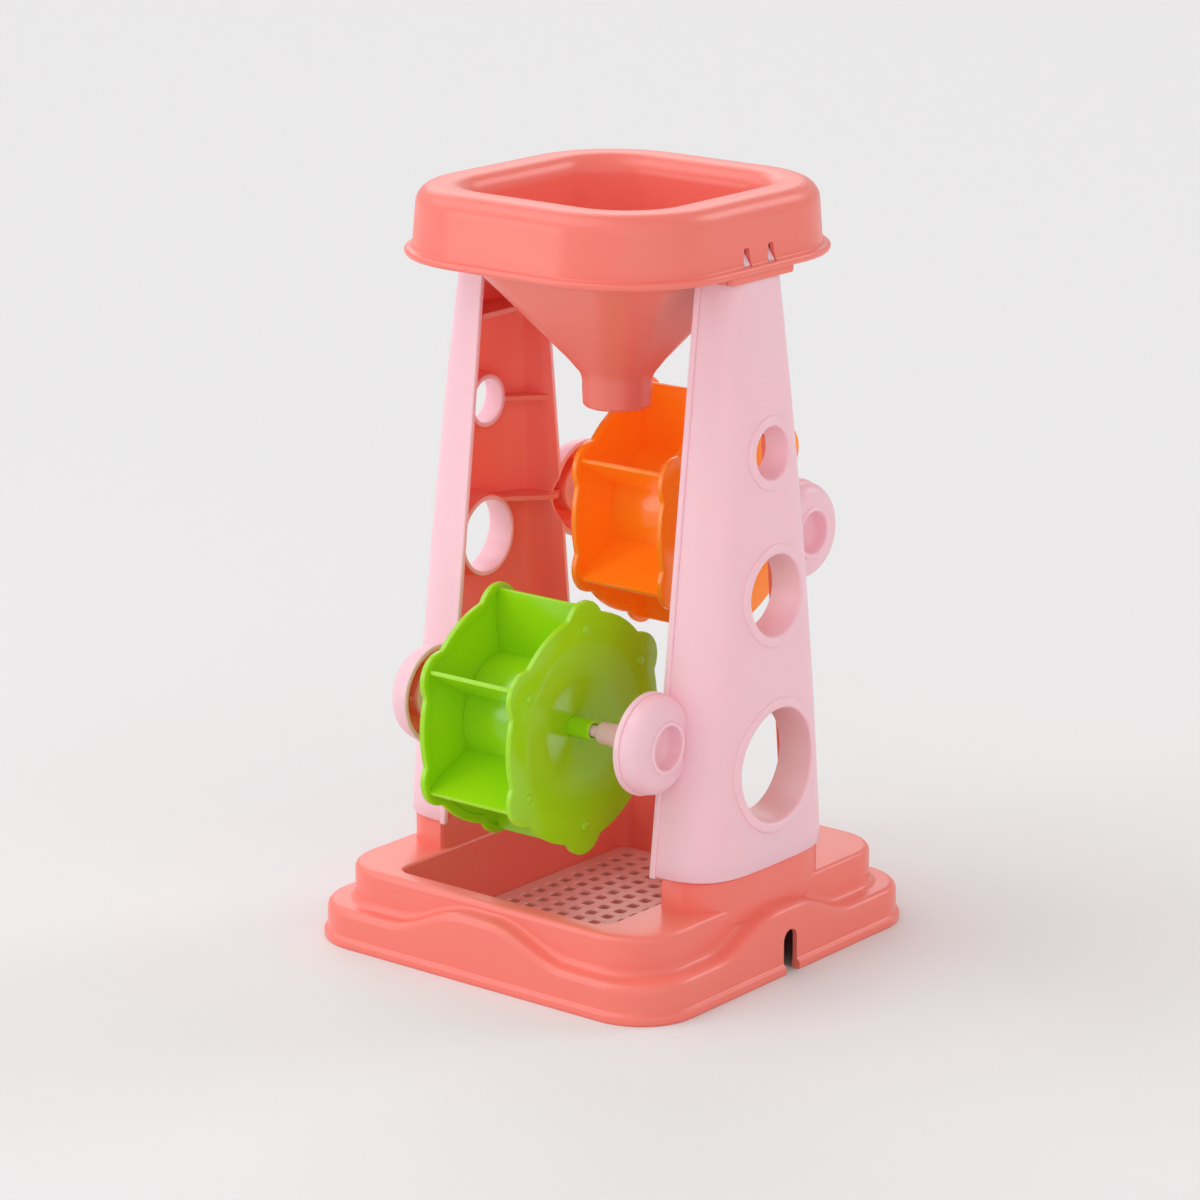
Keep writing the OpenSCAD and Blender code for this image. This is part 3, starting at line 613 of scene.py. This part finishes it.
def make_rib(height, inner, axle=None):
    """Rib inside an upright, from its wall to an inner edge of (x, y) points.

    At an axle it runs out through the ear to the bearing."""
    rib_t, steps, bite = 1.8, 24, UPRIGHT_WALL / 2
    low_y, high_y = inner[0][1], inner[-1][1]
    low_z, high_z = FOOT_Z + height - rib_t / 2, FOOT_Z + height + rib_t / 2
    wall_y = [low_y + (high_y - low_y) * k / steps for k in range(steps + 1)]
    rib = loft([[(face_x(y, z, bite), y, z) for y in wall_y]
                + [(x, y, z) for x, y in reversed(inner)] for z in (low_z, high_z)])
    if axle is not None:
        side = math.copysign(1, axle[1])
        near_y, far_y = sorted((side * (upright_w(height) / 2 - 4),
                                axle[1] + side * (EAR_R - EAR_SIDE)))
        add(rib, block((INNER_X + 4, near_y, low_z), (EAR_OUT_X - bite, far_y, high_z)))
        cut(rib, dimple_cut(axle, 10))
    return rib


def make_tongue():
    """Tongue that plugs into the hopper, with the two barbs behind its windows."""
    w, t, low, top, edge = 34.4, 12.7, SHOULDER_Z - UPRIGHT_WALL, SHOULDER_Z + TONGUE_H, 0.8
    tongue = loft([d_outline(w, t, z) for z in (low, top - edge)]
                  + [d_outline(w - 2 * edge, t - edge, top)])
    cut(tongue, loft([d_outline(w - 2 * UPRIGHT_WALL, t - UPRIGHT_WALL, z, back=1)
                      for z in (low - 1, top - UPRIGHT_WALL)]))
    x, z, barb_w = INNER_X + t - 1.8, SHOULDER_Z + 5.6, 3.4
    barb = [(x, z), (x + 5, z), (x + 5, z + 0.6), (x + 1.8, z + 5.4), (x, z + 5.4)]
    for middle in (-WINDOW_Y, WINDOW_Y):
        add(tongue, loft([[(px, y, pz) for px, pz in barb]
                          for y in (middle - barb_w / 2, middle + barb_w / 2)]))
    return tongue


def paint_hollow_shade(shell):
    """Gives the faces inside an upright's hollow its second material: painted shade, a deeper
    coral-pink that stands for the same pink plastic in shade with coloured bounce light.
    """
    mesh = edit(shell, "FACE")
    for face in mesh.faces:
        x, y, z = face.calc_center_median()
        from_axle = min(math.hypot(y - axle[1], z - axle[2]) for axle in AXLES)
        in_port = any(math.hypot(y, z - FOOT_Z - height) < radius
                      + (0.6 if x > INNER_X + PORT_SETBACK + 0.7 else -PORT_TAPER + 2.2)
                      for height, radius in PORTS)
        in_body = abs(y) < upright_w(z - FOOT_Z) / 2 - 1 and x < face_x(y, z) - 1.2
        run = min(1, max(0, x + 1.1 - EAR_OUT_X + EAR_SIDE) / EAR_SIDE)
        ear_r = EAR_R - 7.1 + 6 * math.sqrt(1 - run ** 2)
        in_ear = from_axle < ear_r and x < EAR_OUT_X - 1.2
        # These faces get the painted shade
        if ((in_body or in_ear) and from_axle >= 10.3 and not in_port
                and x > INNER_X + 0.1 and z < SHOULDER_Z - 1):
            face.material_index = 1
    bmesh.update_edit_mesh(shell.data)
    bpy.ops.object.mode_set(mode="OBJECT")


def make_upright():
    """Right upright: an open D shell with ears, portholes, ribs and bearings."""
    wall, flare = UPRIGHT_WALL, 1.2
    shell = loft(body_rings(0, 0, UPRIGHT_H, foot_round=1.3))
    add(shell, *(turned(ear_profile(0, INNER_X), axle) for axle in AXLES))
    hollow = loft(body_rings(-wall, -1, UPRIGHT_H - wall, 1, bow=0.42, flare=flare))
    add(hollow, *(turned(ear_profile(wall, INNER_X - 1, flare), axle) for axle in AXLES))
    cut(shell, hollow, *(port_cone(*port) for port in PORTS),
        *(dimple_cut(axle, 9.6) for axle in AXLES))
    add(shell, rim_strip(-1, LOW_AXLE), rim_strip(1, HIGH_AXLE))
    ribs = [(LOW_AXLE[2] - FOOT_Z, [(52, -35.6), (64, -17)], LOW_AXLE),
            (HIGH_AXLE[2] - FOOT_Z, [(67, -22), (71.2, -10), (70.6, 0), (66, 8), (62, 13),
                                     (55.5, 20), (51.8, 24.4), (51.6, 28.4)], HIGH_AXLE),
            (PORTS[2][0] - 0.9, [(65.5, 4), (64, 9.8), (53.2, 22.4), (52.8, 24)], None),
            (UPRIGHT_H - 27.4, [(51.6, -18.8), (51.6, 18.8)], None)]
    for height, inner, axle in ribs:
        rib = make_rib(height, inner, axle)
        for port_h, radius in PORTS:
            if abs(port_h - height) < radius + 2:
                cut(rib, port_cone(port_h, radius))
        add(shell, rib)
    add(shell, make_tongue(), *(turned(bearing_profile(), axle, steps=64) for axle in AXLES),
        *(port_sleeve(*port) for port in PORTS))
    # Painted shade: the faces in the hollow take the deeper coral-pink second finish
    paint_hollow_shade(shell)
    return shell


# Wheels

PADDLES = 6
WHEEL_W, RIM_T, DISH_R, DISH_DEPTH, HUB_R, DRUM_R = 44.6, 2.4, 35, 6.2, 4, 23.6
DRUM_WALL, HUB_OUT, PADDLE_R, PEG_CIRCLE = 1.8, 4.2, 48.7, 39.2
BORDER_W, FACE_T = 3.6, 1.45


def dish_at(r):
    """Depth of a disc's dish at a radius: a shallow slope, then a steeper one from a knee."""
    knee_r, knee_depth = 21, 1.9

    def ramp(run, soft):
        if abs(run) < soft / 2:
            return (run + soft / 2) ** 2 / (2 * soft)
        return max(0, run)

    outer = knee_depth / (DISH_R - knee_r)
    inner = (DISH_DEPTH - knee_depth) / (knee_r - HUB_R)
    return outer * ramp(DISH_R - r, 3) + (inner - outer) * ramp(knee_r - r, 5)


def lobed_r(angle, lobe_r, valley_r):
    """Radius of the cloud-shaped outline: a round lobe about each peg, filleted to the rim."""
    bump_r, blend = 10.6, 0.5
    pitch = 360 / PADDLES
    off = math.radians(angle - pitch * round(angle / pitch))
    centre_r = lobe_r - bump_r
    inside = bump_r ** 2 - (centre_r * math.sin(off)) ** 2
    reach = centre_r * math.cos(off) + math.sqrt(inside) if inside > 0 else 0
    gap = reach - valley_r
    return valley_r + (gap + math.sqrt(gap ** 2 + blend ** 2)) / 2 if gap > -6 else valley_r


def make_disc(centre, lobe_r, valley_r):
    """Dished disc on the +X side with a rounded, lobed rim and a border round its inside."""
    out_x, edge, hole_r = WHEEL_W / 2, 0.5, HUB_R + 0.1
    rim = [lobed_r(degrees, lobe_r, valley_r) for degrees in range(360)]

    def ring(outline, x):
        return [(centre[0] + x, centre[1] + r * math.sin(math.tau * k / 360),
                 centre[2] + r * math.cos(math.tau * k / 360)) for k, r in enumerate(outline)]

    def lobed(inset, x):
        return ring([r - inset for r in rim], x)

    radii = [hole_r, 7, 11, 15, 18, 19, 20, 21, 22, 23, 24, 27, 30, 32, 33, 33.8, 34.4, 35,
             35.6, 36.2, 36.8, 38]
    rings = [ring([r] * 360, out_x - dish_at(r)) for r in radii]
    rings += [lobed(edge * run, out_x - edge * down) for run, down in rounding(5, 90, 0)]
    rings += [lobed(edge * run, out_x - RIM_T + edge * (2 - down))
              for run, down in rounding(5, 0, -90)]
    rings += [lobed(BORDER_W - 0.5, out_x - RIM_T), lobed(BORDER_W - 0.2, out_x - RIM_T + 0.1),
              lobed(BORDER_W + 0.2, out_x - FACE_T - 0.15), lobed(BORDER_W + 0.5, out_x - FACE_T)]
    rings += [ring([r] * 360, out_x - FACE_T - dish_at(r)) for r in reversed(radii)]
    return loft(rings, closed=True)


def make_paddle(centre, thickness, lobe_r):
    """One paddle above the axle, its free edge rounded, between the discs."""
    root = DRUM_R - DRUM_WALL / 2
    clear, edge = 0.05, lobe_r - BORDER_W
    outline = [(WHEEL_W / 2 - FACE_T - dish_at(r) - clear, r)
               for r in (root, 23.4, 24, 27, 30, 33, 34, 35, 36.2, 37, 40, 44, edge - 0.7)]
    outline += [(WHEEL_W / 2 - RIM_T - clear, r) for r in (edge + 0.1, PADDLE_R - 0.2)]
    outline.append((outline[-1][0] - 0.2, PADDLE_R))
    half = outline + [(-x, r) for x, r in reversed(outline)]
    return loft([[(centre[0] + x, centre[1] + y * thickness,
                   centre[2] + r - (inset if r > edge else 0)) for x, r in half]
                 for y, inset in ((-0.5, 0.4), (-0.35, 0.12), (-0.15, 0), (0.15, 0),
                                  (0.35, 0.12), (0.5, 0.4))])


def make_peg(centre):
    """Peg that carries a disc, with its domed head, on the +X side."""
    face, head = WHEEL_W / 2 - FACE_T - 1, WHEEL_W / 2 - 0.05
    head_r, head_h, peg_r = 2.0, 0.9, 0.8
    points = [(face, 0), (face, peg_r), (head, peg_r), (head, head_r)]
    points += [(head + head_h * math.sin(a), head_r * math.cos(a)) for a in arc(12, 78, 6)]
    points.append((head + head_h, 0))
    return turned(points, (centre[0], centre[1], centre[2] + PEG_CIRCLE), steps=24)


def make_drum(centre, thickness, lobe_r):
    """Drum with its web, its hub tube, its paddles and its pegs."""
    half = WHEEL_W / 2 - FACE_T - dish_at(DRUM_R - DRUM_WALL) - 0.1
    wall, crown = DRUM_WALL, 0.35

    def symmetric(profile):
        """A profile of the drum's right half with its mirror image before it."""
        return [(-x, r) for x, r in reversed(profile)] + profile

    outside = [(half * k / 8, DRUM_R - crown * (k / 8) ** 2) for k in range(-8, 9)]
    drum = turned([(-half, DRUM_R - crown - wall)] + outside
                  + [(half, DRUM_R - crown - wall)], centre, steps=120)
    web = turned(symmetric([(wall / 2, DRUM_R - wall / 2), (wall / 2, 0)]), centre, steps=120)
    hub_half = WHEEL_W / 2 + HUB_OUT
    hub = turned(symmetric([(hub_half - 0.4, HUB_R), (hub_half, HUB_R - 0.4), (hub_half, 0)]),
                 centre, steps=64)
    add(drum, web, hub)
    arm = add(make_paddle(centre, thickness, lobe_r), make_peg(centre), mirror(make_peg(centre)))
    arms = [arm] + [turn(copy_of(arm), 360 / PADDLES * k, centre) for k in range(1, PADDLES)]
    deselect()
    for arm in arms:
        arm.select_set(True)
    bpy.context.view_layer.objects.active = arms[0]
    bpy.ops.object.join()
    add(drum, arms[0])
    bore_r, mouth_r, lead = 2.29, 3.0, 2.4
    bore = symmetric([(hub_half - lead, bore_r), (hub_half - lead + 0.6, mouth_r - 0.1),
                      (hub_half + 1, mouth_r), (hub_half + 1, 0)])
    return cut(drum, turned(bore, centre, steps=48))


# Hopper

HOPPER_W, HOPPER_D, HOPPER_R = 140, 147.4, 47
LIP_PROUD, LIP_H, HOPPER_Z, HOPPER_WALL = 3, 2.9, 273, 1.8
MOUTH_W, MOUTH_D, MOUTH_R = 89, 94.6, 20
NECK_R, NECK_Z, NECK_TOP_Z, FUNNEL_TOP_Z = 13.5, 212, 225.3, 269.7


hopper_ring = partial(rounded_ring, corner_steps=24, side_steps=8)
lip_ring = partial(hopper_ring, HOPPER_W, HOPPER_D, HOPPER_R)
mouth_ring = partial(hopper_ring, MOUTH_W, MOUTH_D, MOUTH_R)


def funnel_ring(share, inset, z):
    """Outline between the round neck (share 0) and the bowl (share 1)."""
    grow = HOPPER_WALL - 0.8 - NECK_R
    w, d = (2 * (NECK_R + (size / 2 + grow) * share) for size in (MOUTH_W, MOUTH_D))
    return hopper_ring(w, d, NECK_R - 0.05 + (MOUTH_R + grow) * share, inset, z)


def hopper_rings():
    """Profile of the hopper: up the funnel, over the rim and back down inside."""
    roll, wall, lip_r, lip_fillet, neck_edge = 8, HOPPER_WALL, LIP_H / 2, 1.1, 1.8
    roll_z, roll_inset = RIM_Z - roll, LIP_PROUD + 1.3
    height = FUNNEL_TOP_Z - NECK_TOP_Z
    rings = [funnel_ring(0, 0.2 + neck_edge * down, NECK_Z + neck_edge * run)
             for run, down in rounding(5)]
    rings += [funnel_ring(0, 0, NECK_Z + 6), funnel_ring(0, -0.1, NECK_TOP_Z - 3)]
    soft_bend = [(-2, 0.006), (-0.8, 0.014), (0.6, 0.03), (2.2, 0.062)]
    rings += [funnel_ring(share, 0, NECK_TOP_Z + rise) for rise, share in soft_bend]
    rings += [funnel_ring(k / 8, 0, NECK_TOP_Z + height * k / 8) for k in range(1, 9)]
    rings += [mouth_ring(-wall, roll_z), lip_ring(roll_inset + wall, roll_z),
              lip_ring(LIP_PROUD + wall, HOPPER_Z)]
    rings += [lip_ring(lip_r * run, HOPPER_Z + LIP_H - lip_r * down)
              for run, down in rounding(12, -90, 80)]
    rings += [lip_ring(LIP_PROUD + 0.1 - lip_fillet * down, HOPPER_Z + LIP_H + lip_fillet * run)
              for run, down in rounding(4, 15)]
    rings += [lip_ring(roll_inset + roll * run, RIM_Z - roll * down)
              for run, down in rounding(12)]
    rings += [mouth_ring(-roll * down, RIM_Z - roll * run) for run, down in rounding(9)]
    rings.append(mouth_ring(0.4, (roll_z + FUNNEL_TOP_Z) / 2))
    # Inside, the funnel stands higher, so that its wall is as thick as the rest
    rings += [funnel_ring(1 - k / 8, wall, FUNNEL_TOP_Z + 0.75 - height * k / 8)
              for k in range(9)]
    return rings + [funnel_ring(0, wall, NECK_Z)]


def make_hopper():
    """The hopper: its shell, the pockets for the tongues, the tabs and the windows."""
    hopper = loft(hopper_rings(), closed=True)
    skirt_x = HOPPER_W / 2 - LIP_PROUD - HOPPER_WALL
    rib_y, rib_t, low, top = 17.4, 1.8, SHOULDER_Z, HOPPER_Z + 1.8
    bowl_x, tab_y = MOUTH_W / 2 + HOPPER_WALL - 1.2, rib_y + rib_t
    tab = [(-tab_y, top), (tab_y, top), (tab_y, low + 0.9), (tab_y - 0.3, low + 0.3),
           (tab_y - 0.9, low), (0.9 - tab_y, low), (0.3 - tab_y, low + 0.3),
           (-tab_y, low + 0.9)]
    keystone = [(-2.5, 0), (2.5, 0), (1.5, 6.7), (1.1, 7), (-1.1, 7), (-1.5, 6.7)]
    for side in (1, -1):
        for near_y, far_y in ((rib_y, tab_y), (-tab_y, -rib_y)):
            add(hopper, block((side * bowl_x, near_y, low),
                              (side * (skirt_x + 0.8), far_y, low + TONGUE_H + 2)))
        add(hopper, loft([[(side * x, y, z) for y, z in tab]
                          for x in (skirt_x + 1.2, skirt_x + HOPPER_WALL + 1.8)]))
        for middle in (-WINDOW_Y, WINDOW_Y):
            cut(hopper, loft([[(side * x, middle + y, HOPPER_Z + LIP_H + z)
                               for y, z in keystone]
                              for x in (skirt_x - HOPPER_WALL - 0.2, HOPPER_W / 2 + 1)]))
    return hopper


# Materials

def linear(code):
    """Linear colour of an sRGB hex value."""
    values = [int(code[i:i + 2], 16) / 255 for i in (1, 3, 5)]
    return [v / 12.92 if v <= 0.04045 else ((v + 0.055) / 1.055) ** 2.4 for v in values] + [1]


def add_node(tree, kind, settings=None, inputs=None, links=None):
    """Adds a node with its settings, its input values and the links into it."""
    node = tree.nodes.new(kind)
    for key, value in (settings or {}).items():
        setattr(node, key, value)
    for key, value in (inputs or {}).items():
        node.inputs[key].default_value = value
    for key, source in (links or {}).items():
        tree.links.new(source, node.inputs[key])
    return node


def moulded_plastic(name, colour, deep, roughness, subsurface=0.0, glow=0.0):
    """Injection-moulded plastic: an even tint with faint flow clouds and a skin texture.

    A glow is painted light: an emission in the plastic's own colour that lifts its shaded parts,
    standing in for light that shines through the thin walls."""
    material = bpy.data.materials.new(name)
    material.use_nodes = True
    tree = material.node_tree
    tree.nodes.clear()
    place = add_node(tree, "ShaderNodeTexCoord")
    # Flow clouds about 25 mm across, where the melt cooled a little unevenly
    clouds = add_node(tree, "ShaderNodeTexNoise", inputs={"Scale": 40, "Detail": 3,
                                                         "Roughness": 0.45},
                      links={"Vector": place.outputs["Object"]})
    tint = add_node(tree, "ShaderNodeMapRange",
                    inputs={"To Min": 0.0, "To Max": 0.4},
                    links={"Value": clouds.outputs["Fac"]})
    mix = add_node(tree, "ShaderNodeMix", settings={"data_type": "RGBA"},
                   inputs={"A": linear(colour), "B": linear(deep)},
                   links={"Factor": tint.outputs["Result"]})
    # Fine mould skin, drawn at 1.5 mm because the real 0.1 mm wouldn't show
    skin = add_node(tree, "ShaderNodeTexNoise", inputs={"Scale": 650, "Detail": 2},
                    links={"Vector": place.outputs["Object"]})
    bump = add_node(tree, "ShaderNodeBump", inputs={"Strength": 0.04, "Distance": 0.0002},
                    links={"Height": skin.outputs["Fac"]})
    gloss = add_node(tree, "ShaderNodeMapRange",
                     inputs={"To Min": roughness, "To Max": roughness + 0.06},
                     links={"Value": clouds.outputs["Fac"]})
    # The emission strength is the painted glow, light given off by the plastic itself
    shader = add_node(tree, "ShaderNodeBsdfPrincipled",
                      inputs={"IOR": 1.49, "Subsurface Weight": subsurface,
                              "Subsurface Radius": (1.0, 0.5, 0.4),
                              "Subsurface Scale": 0.005, "Emission Strength": glow},
                      links={"Base Color": mix.outputs["Result"],
                             "Emission Color": mix.outputs["Result"],
                             "Roughness": gloss.outputs["Result"],
                             "Normal": bump.outputs["Normal"]})
    add_node(tree, "ShaderNodeOutputMaterial", links={"Surface": shader.outputs["BSDF"]})
    return material


def make_materials():
    """Polypropylene for the mouldings, and clearer polystyrene for the wheels."""
    # Name, colour, deeper colour, roughness, subsurface weight and painted glow
    looks = {
        "coral": ("moulded_pp_coral", "#F97F72", "#F47668", 0.28),
        # The sieve plate's lighter pink is partly its own paler plastic and partly painted light,
        # the light from above that falls on the upward-facing floor
        "sieve": ("moulded_pp_dusty_pink", "#F4A8A0", "#EC9D94", 0.34, 0.5),
        "pink": ("moulded_pp_pale_pink", "#FDCDD8", "#F9C4D0", 0.32, 0.4),
        # The uprights' hollow is the same pale pink plastic; this coral-pink is painted shade
        # with the coloured bounce light in it
        "inside": ("moulded_pp_pink_painted_hollow_shade", "#FC958C", "#F88A80", 0.36, 0.8),
        # The lime and orange wheels get a painted glow, an emission that brightens their shaded
        # buckets
        "lime": ("moulded_ps_lime", "#9CD712", "#92CE0C", 0.12, 0.25, 0.05),
        "orange": ("moulded_ps_orange", "#FF8C1C", "#FF8216", 0.12, 0.1, 0.14),
    }
    return {finish: moulded_plastic(*look) for finish, look in looks.items()}


# Camera, floor and light

def camera_axes(azimuth, elevation, roll):
    """Right, up and back directions of a camera that looks at the toy."""
    az, el, ro = (math.radians(v) for v in (azimuth, elevation, roll))
    back = Vector((math.sin(az) * math.cos(el), -math.cos(az) * math.cos(el), math.sin(el)))
    right = Vector((math.cos(az), math.sin(az), 0))
    up = back.cross(right)
    return (right * math.cos(ro) + up * math.sin(ro), up * math.cos(ro) - right * math.sin(ro),
            back)


def make_camera():
    """Camera at the photograph's place, fitted to the toy's outlines."""
    right, up, back = camera_axes(38.13, 15.44, 0.33)
    place = (Vector((0, 0, 143.52)) + right * -6.21 + up * -9.11 + back * 1736.62) * MM
    deselect()
    bpy.ops.object.camera_add()
    camera = bpy.context.object
    camera.name = "camera"
    turned_axes = Matrix((right, up, back)).transposed().to_4x4()
    camera.matrix_world = Matrix.Translation(place) @ turned_axes
    camera.data.lens = 133.58
    camera.data.sensor_width = 36
    camera.data.clip_end = 50
    bpy.context.scene.camera = camera


def add_lamp(kind, name, azimuth, elevation, energy, tint="#FFFFFF", distance=0):
    """Adds a lamp that shines on the middle of the toy from a direction."""
    deselect()
    bpy.ops.object.light_add(type=kind)
    lamp = bpy.context.object
    lamp.name = name
    back = camera_axes(azimuth, elevation, 0)[2]
    lamp.location = back * distance + Vector((0, 0, RIM_Z / 2 * MM))
    lamp.rotation_mode = "QUATERNION"
    lamp.rotation_quaternion = back.to_track_quat("Z", "Y")
    lamp.data.energy = energy
    lamp.data.color = linear(tint)[:3]
    return lamp.data


def make_stage():
    """Pale floor, a bright horizon, five soft suns round the toy and a soft box at the front."""
    scene = bpy.context.scene
    scene.view_settings.view_transform = "Standard"
    deselect()
    bpy.ops.mesh.primitive_plane_add(size=14)
    floor = bpy.context.object
    floor.name = "floor"
    material = bpy.data.materials.new("pale_paper_floor")
    material.use_nodes = True
    shader = material.node_tree.nodes["Principled BSDF"]
    for key, value in (("Base Color", linear("#EAE9E9")), ("Roughness", 0.9),
                       ("Specular IOR Level", 0.2)):
        shader.inputs[key].default_value = value
    floor.data.materials.append(material)
    world = bpy.data.worlds.new("studio_walls")
    scene.world = world
    world.use_nodes = True
    tree = world.node_tree
    tree.nodes.clear()
    place = add_node(tree, "ShaderNodeTexCoord")
    height = add_node(tree, "ShaderNodeSeparateXYZ", links={"Vector": place.outputs["Generated"]})
    # Brighter near the horizon, as the white wall round a studio table is
    glow = add_node(tree, "ShaderNodeMapRange", settings={"interpolation_type": "SMOOTHSTEP"},
                    inputs={"From Min": 0.35, "From Max": 0.65, "To Min": 0.6, "To Max": 0.35},
                    links={"Value": height.outputs["Z"]})
    light = add_node(tree, "ShaderNodeBackground", inputs={"Color": linear("#FFFFFF")},
                     links={"Strength": glow.outputs["Result"]})
    add_node(tree, "ShaderNodeOutputWorld", links={"Surface": light.outputs["Background"]})
    for name, azimuth, elevation, angle, strength, tint in (
            ("key", -34, 58, 45, 0.73, "#FAFAFF"), ("side", -76, 42, 42, 0.56, "#FAFAFF"),
            ("back", -135, 32, 40, 0.5, "#FFFFFF"), ("back_window", 158, 34, 22, 0.4, "#FFFFFF"),
            ("fill", 60, 30, 80, 0.75, "#FFFAF2")):
        add_lamp("SUN", name, azimuth, elevation, strength, tint).angle = math.radians(angle)
    soft_box = add_lamp("AREA", "soft_box", -36, 12, 3.8, distance=1.7)
    soft_box.shape = "RECTANGLE"
    soft_box.size, soft_box.size_y = 0.6, 0.8


# The add-on's settings, operators and panel

def length(name, default, low, high, description):
    """Setting for a length in metres."""
    return FloatProperty(name=name, unit="LENGTH", default=default, min=low, max=high,
                         description=description)


class SandWheelSettings(bpy.types.PropertyGroup):
    """Sizes that a user would change."""
    paddle_thickness: length("Paddle thickness", 0.0018, 0.0012, 0.0024,
                             "Thickness of a wheel's paddles")
    lobe_radius: length("Lobe radius", 0.0505, 0.047, 0.0505,
                        "Radius of a wheel to the tip of a lobe")
    valley_radius: length("Valley radius", 0.0454, 0.042, 0.048,
                          "Radius of a wheel between two lobes")
    hole_width: length("Sieve hole", 0.0044, 0.003, 0.005, "Width of a sieve hole")
    hole_pitch: length("Sieve pitch", 0.0082, 0.007, 0.012,
                       "Distance from one sieve hole to the next")


MATERIALS = {}


class SANDWHEEL_OT_stage(bpy.types.Operator):
    """Sets up the camera, the floor and the light"""
    bl_idname = "sandwheel.stage"
    bl_label = "Camera, floor and light"

    def execute(self, context):
        make_camera()
        make_stage()
        return {"FINISHED"}


class SANDWHEEL_OT_base(bpy.types.Operator):
    """Builds the base with its humps, its tray and its collars"""
    bl_idname = "sandwheel.base"
    bl_label = "Base"

    def execute(self, context):
        finish_piece(make_base(), "frame", "base", "coral")
        return {"FINISHED"}


class SANDWHEEL_OT_sieve(bpy.types.Operator):
    """Builds the sieve floor of the tray"""
    bl_idname = "sandwheel.sieve"
    bl_label = "Sieve floor"

    def execute(self, context):
        settings = context.scene.sand_wheel
        sieve = make_sieve(settings.hole_width / MM, settings.hole_pitch / MM)
        finish_piece(sieve, "frame", "sieve_floor", "sieve", name="sieve_plate")
        return {"FINISHED"}


class SANDWHEEL_OT_uprights(bpy.types.Operator):
    """Builds both uprights with their portholes, ears, pins and tongues"""
    bl_idname = "sandwheel.uprights"
    bl_label = "Uprights"

    def execute(self, context):
        right = make_upright()
        left = mirror(copy_of(right))
        for obj, node in ((right, "right_upright"), (left, "left_upright")):
            # The second finish is painted shade for the faces in the hollow
            finish_piece(obj, "frame", node, "pink", "inside")
        return {"FINISHED"}


class SANDWHEEL_OT_wheels(bpy.types.Operator):
    """Builds the two paddle wheels"""
    bl_idname = "sandwheel.wheels"
    bl_label = "Wheels"

    def execute(self, context):
        settings = context.scene.sand_wheel
        thickness = settings.paddle_thickness / MM
        lobes = settings.lobe_radius / MM, settings.valley_radius / MM
        for wheel, centre, finish in (("lower_wheel", LOW_AXLE, "lime"),
                                      ("upper_wheel", HIGH_AXLE, "orange")):
            right = make_disc(centre, *lobes)
            left = mirror(copy_of(right))
            drum = make_drum(centre, thickness, lobes[0])
            for obj, part in ((right, "_right_disc"), (left, "_left_disc"), (drum, "_drum")):
                finish_piece(obj, wheel, wheel + part, finish)
        return {"FINISHED"}


class SANDWHEEL_OT_hopper(bpy.types.Operator):
    """Builds the hopper with its lip, its rolled rim and its funnel"""
    bl_idname = "sandwheel.hopper"
    bl_label = "Hopper"

    def execute(self, context):
        finish_piece(make_hopper(), "frame", "hopper", "coral")
        return {"FINISHED"}


class SANDWHEEL_PT_panel(bpy.types.Panel):
    """Lists the toy's pieces"""
    bl_label = "Sand wheel toy"
    bl_idname = "SANDWHEEL_PT_panel"
    bl_space_type = "VIEW_3D"
    bl_region_type = "UI"
    bl_category = "Sand Wheel"

    def draw(self, context):
        for name in SandWheelSettings.__annotations__:
            self.layout.prop(context.scene.sand_wheel, name)
        for operator in OPERATORS:
            self.layout.operator(operator.bl_idname)


OPERATORS = (SANDWHEEL_OT_stage, SANDWHEEL_OT_base, SANDWHEEL_OT_sieve,
             SANDWHEEL_OT_uprights, SANDWHEEL_OT_wheels, SANDWHEEL_OT_hopper)
CLASSES = (SandWheelSettings,) + OPERATORS + (SANDWHEEL_PT_panel,)


def register():
    for each in CLASSES:
        bpy.utils.register_class(each)
    bpy.types.Scene.sand_wheel = PointerProperty(type=SandWheelSettings)


def unregister():
    del bpy.types.Scene.sand_wheel
    for each in reversed(CLASSES):
        bpy.utils.unregister_class(each)


def main():
    register()
    MATERIALS.update(make_materials())
    for operator in OPERATORS:
        getattr(bpy.ops.sandwheel, operator.bl_idname.split(".")[1])()


if __name__ == "__main__":
    main()
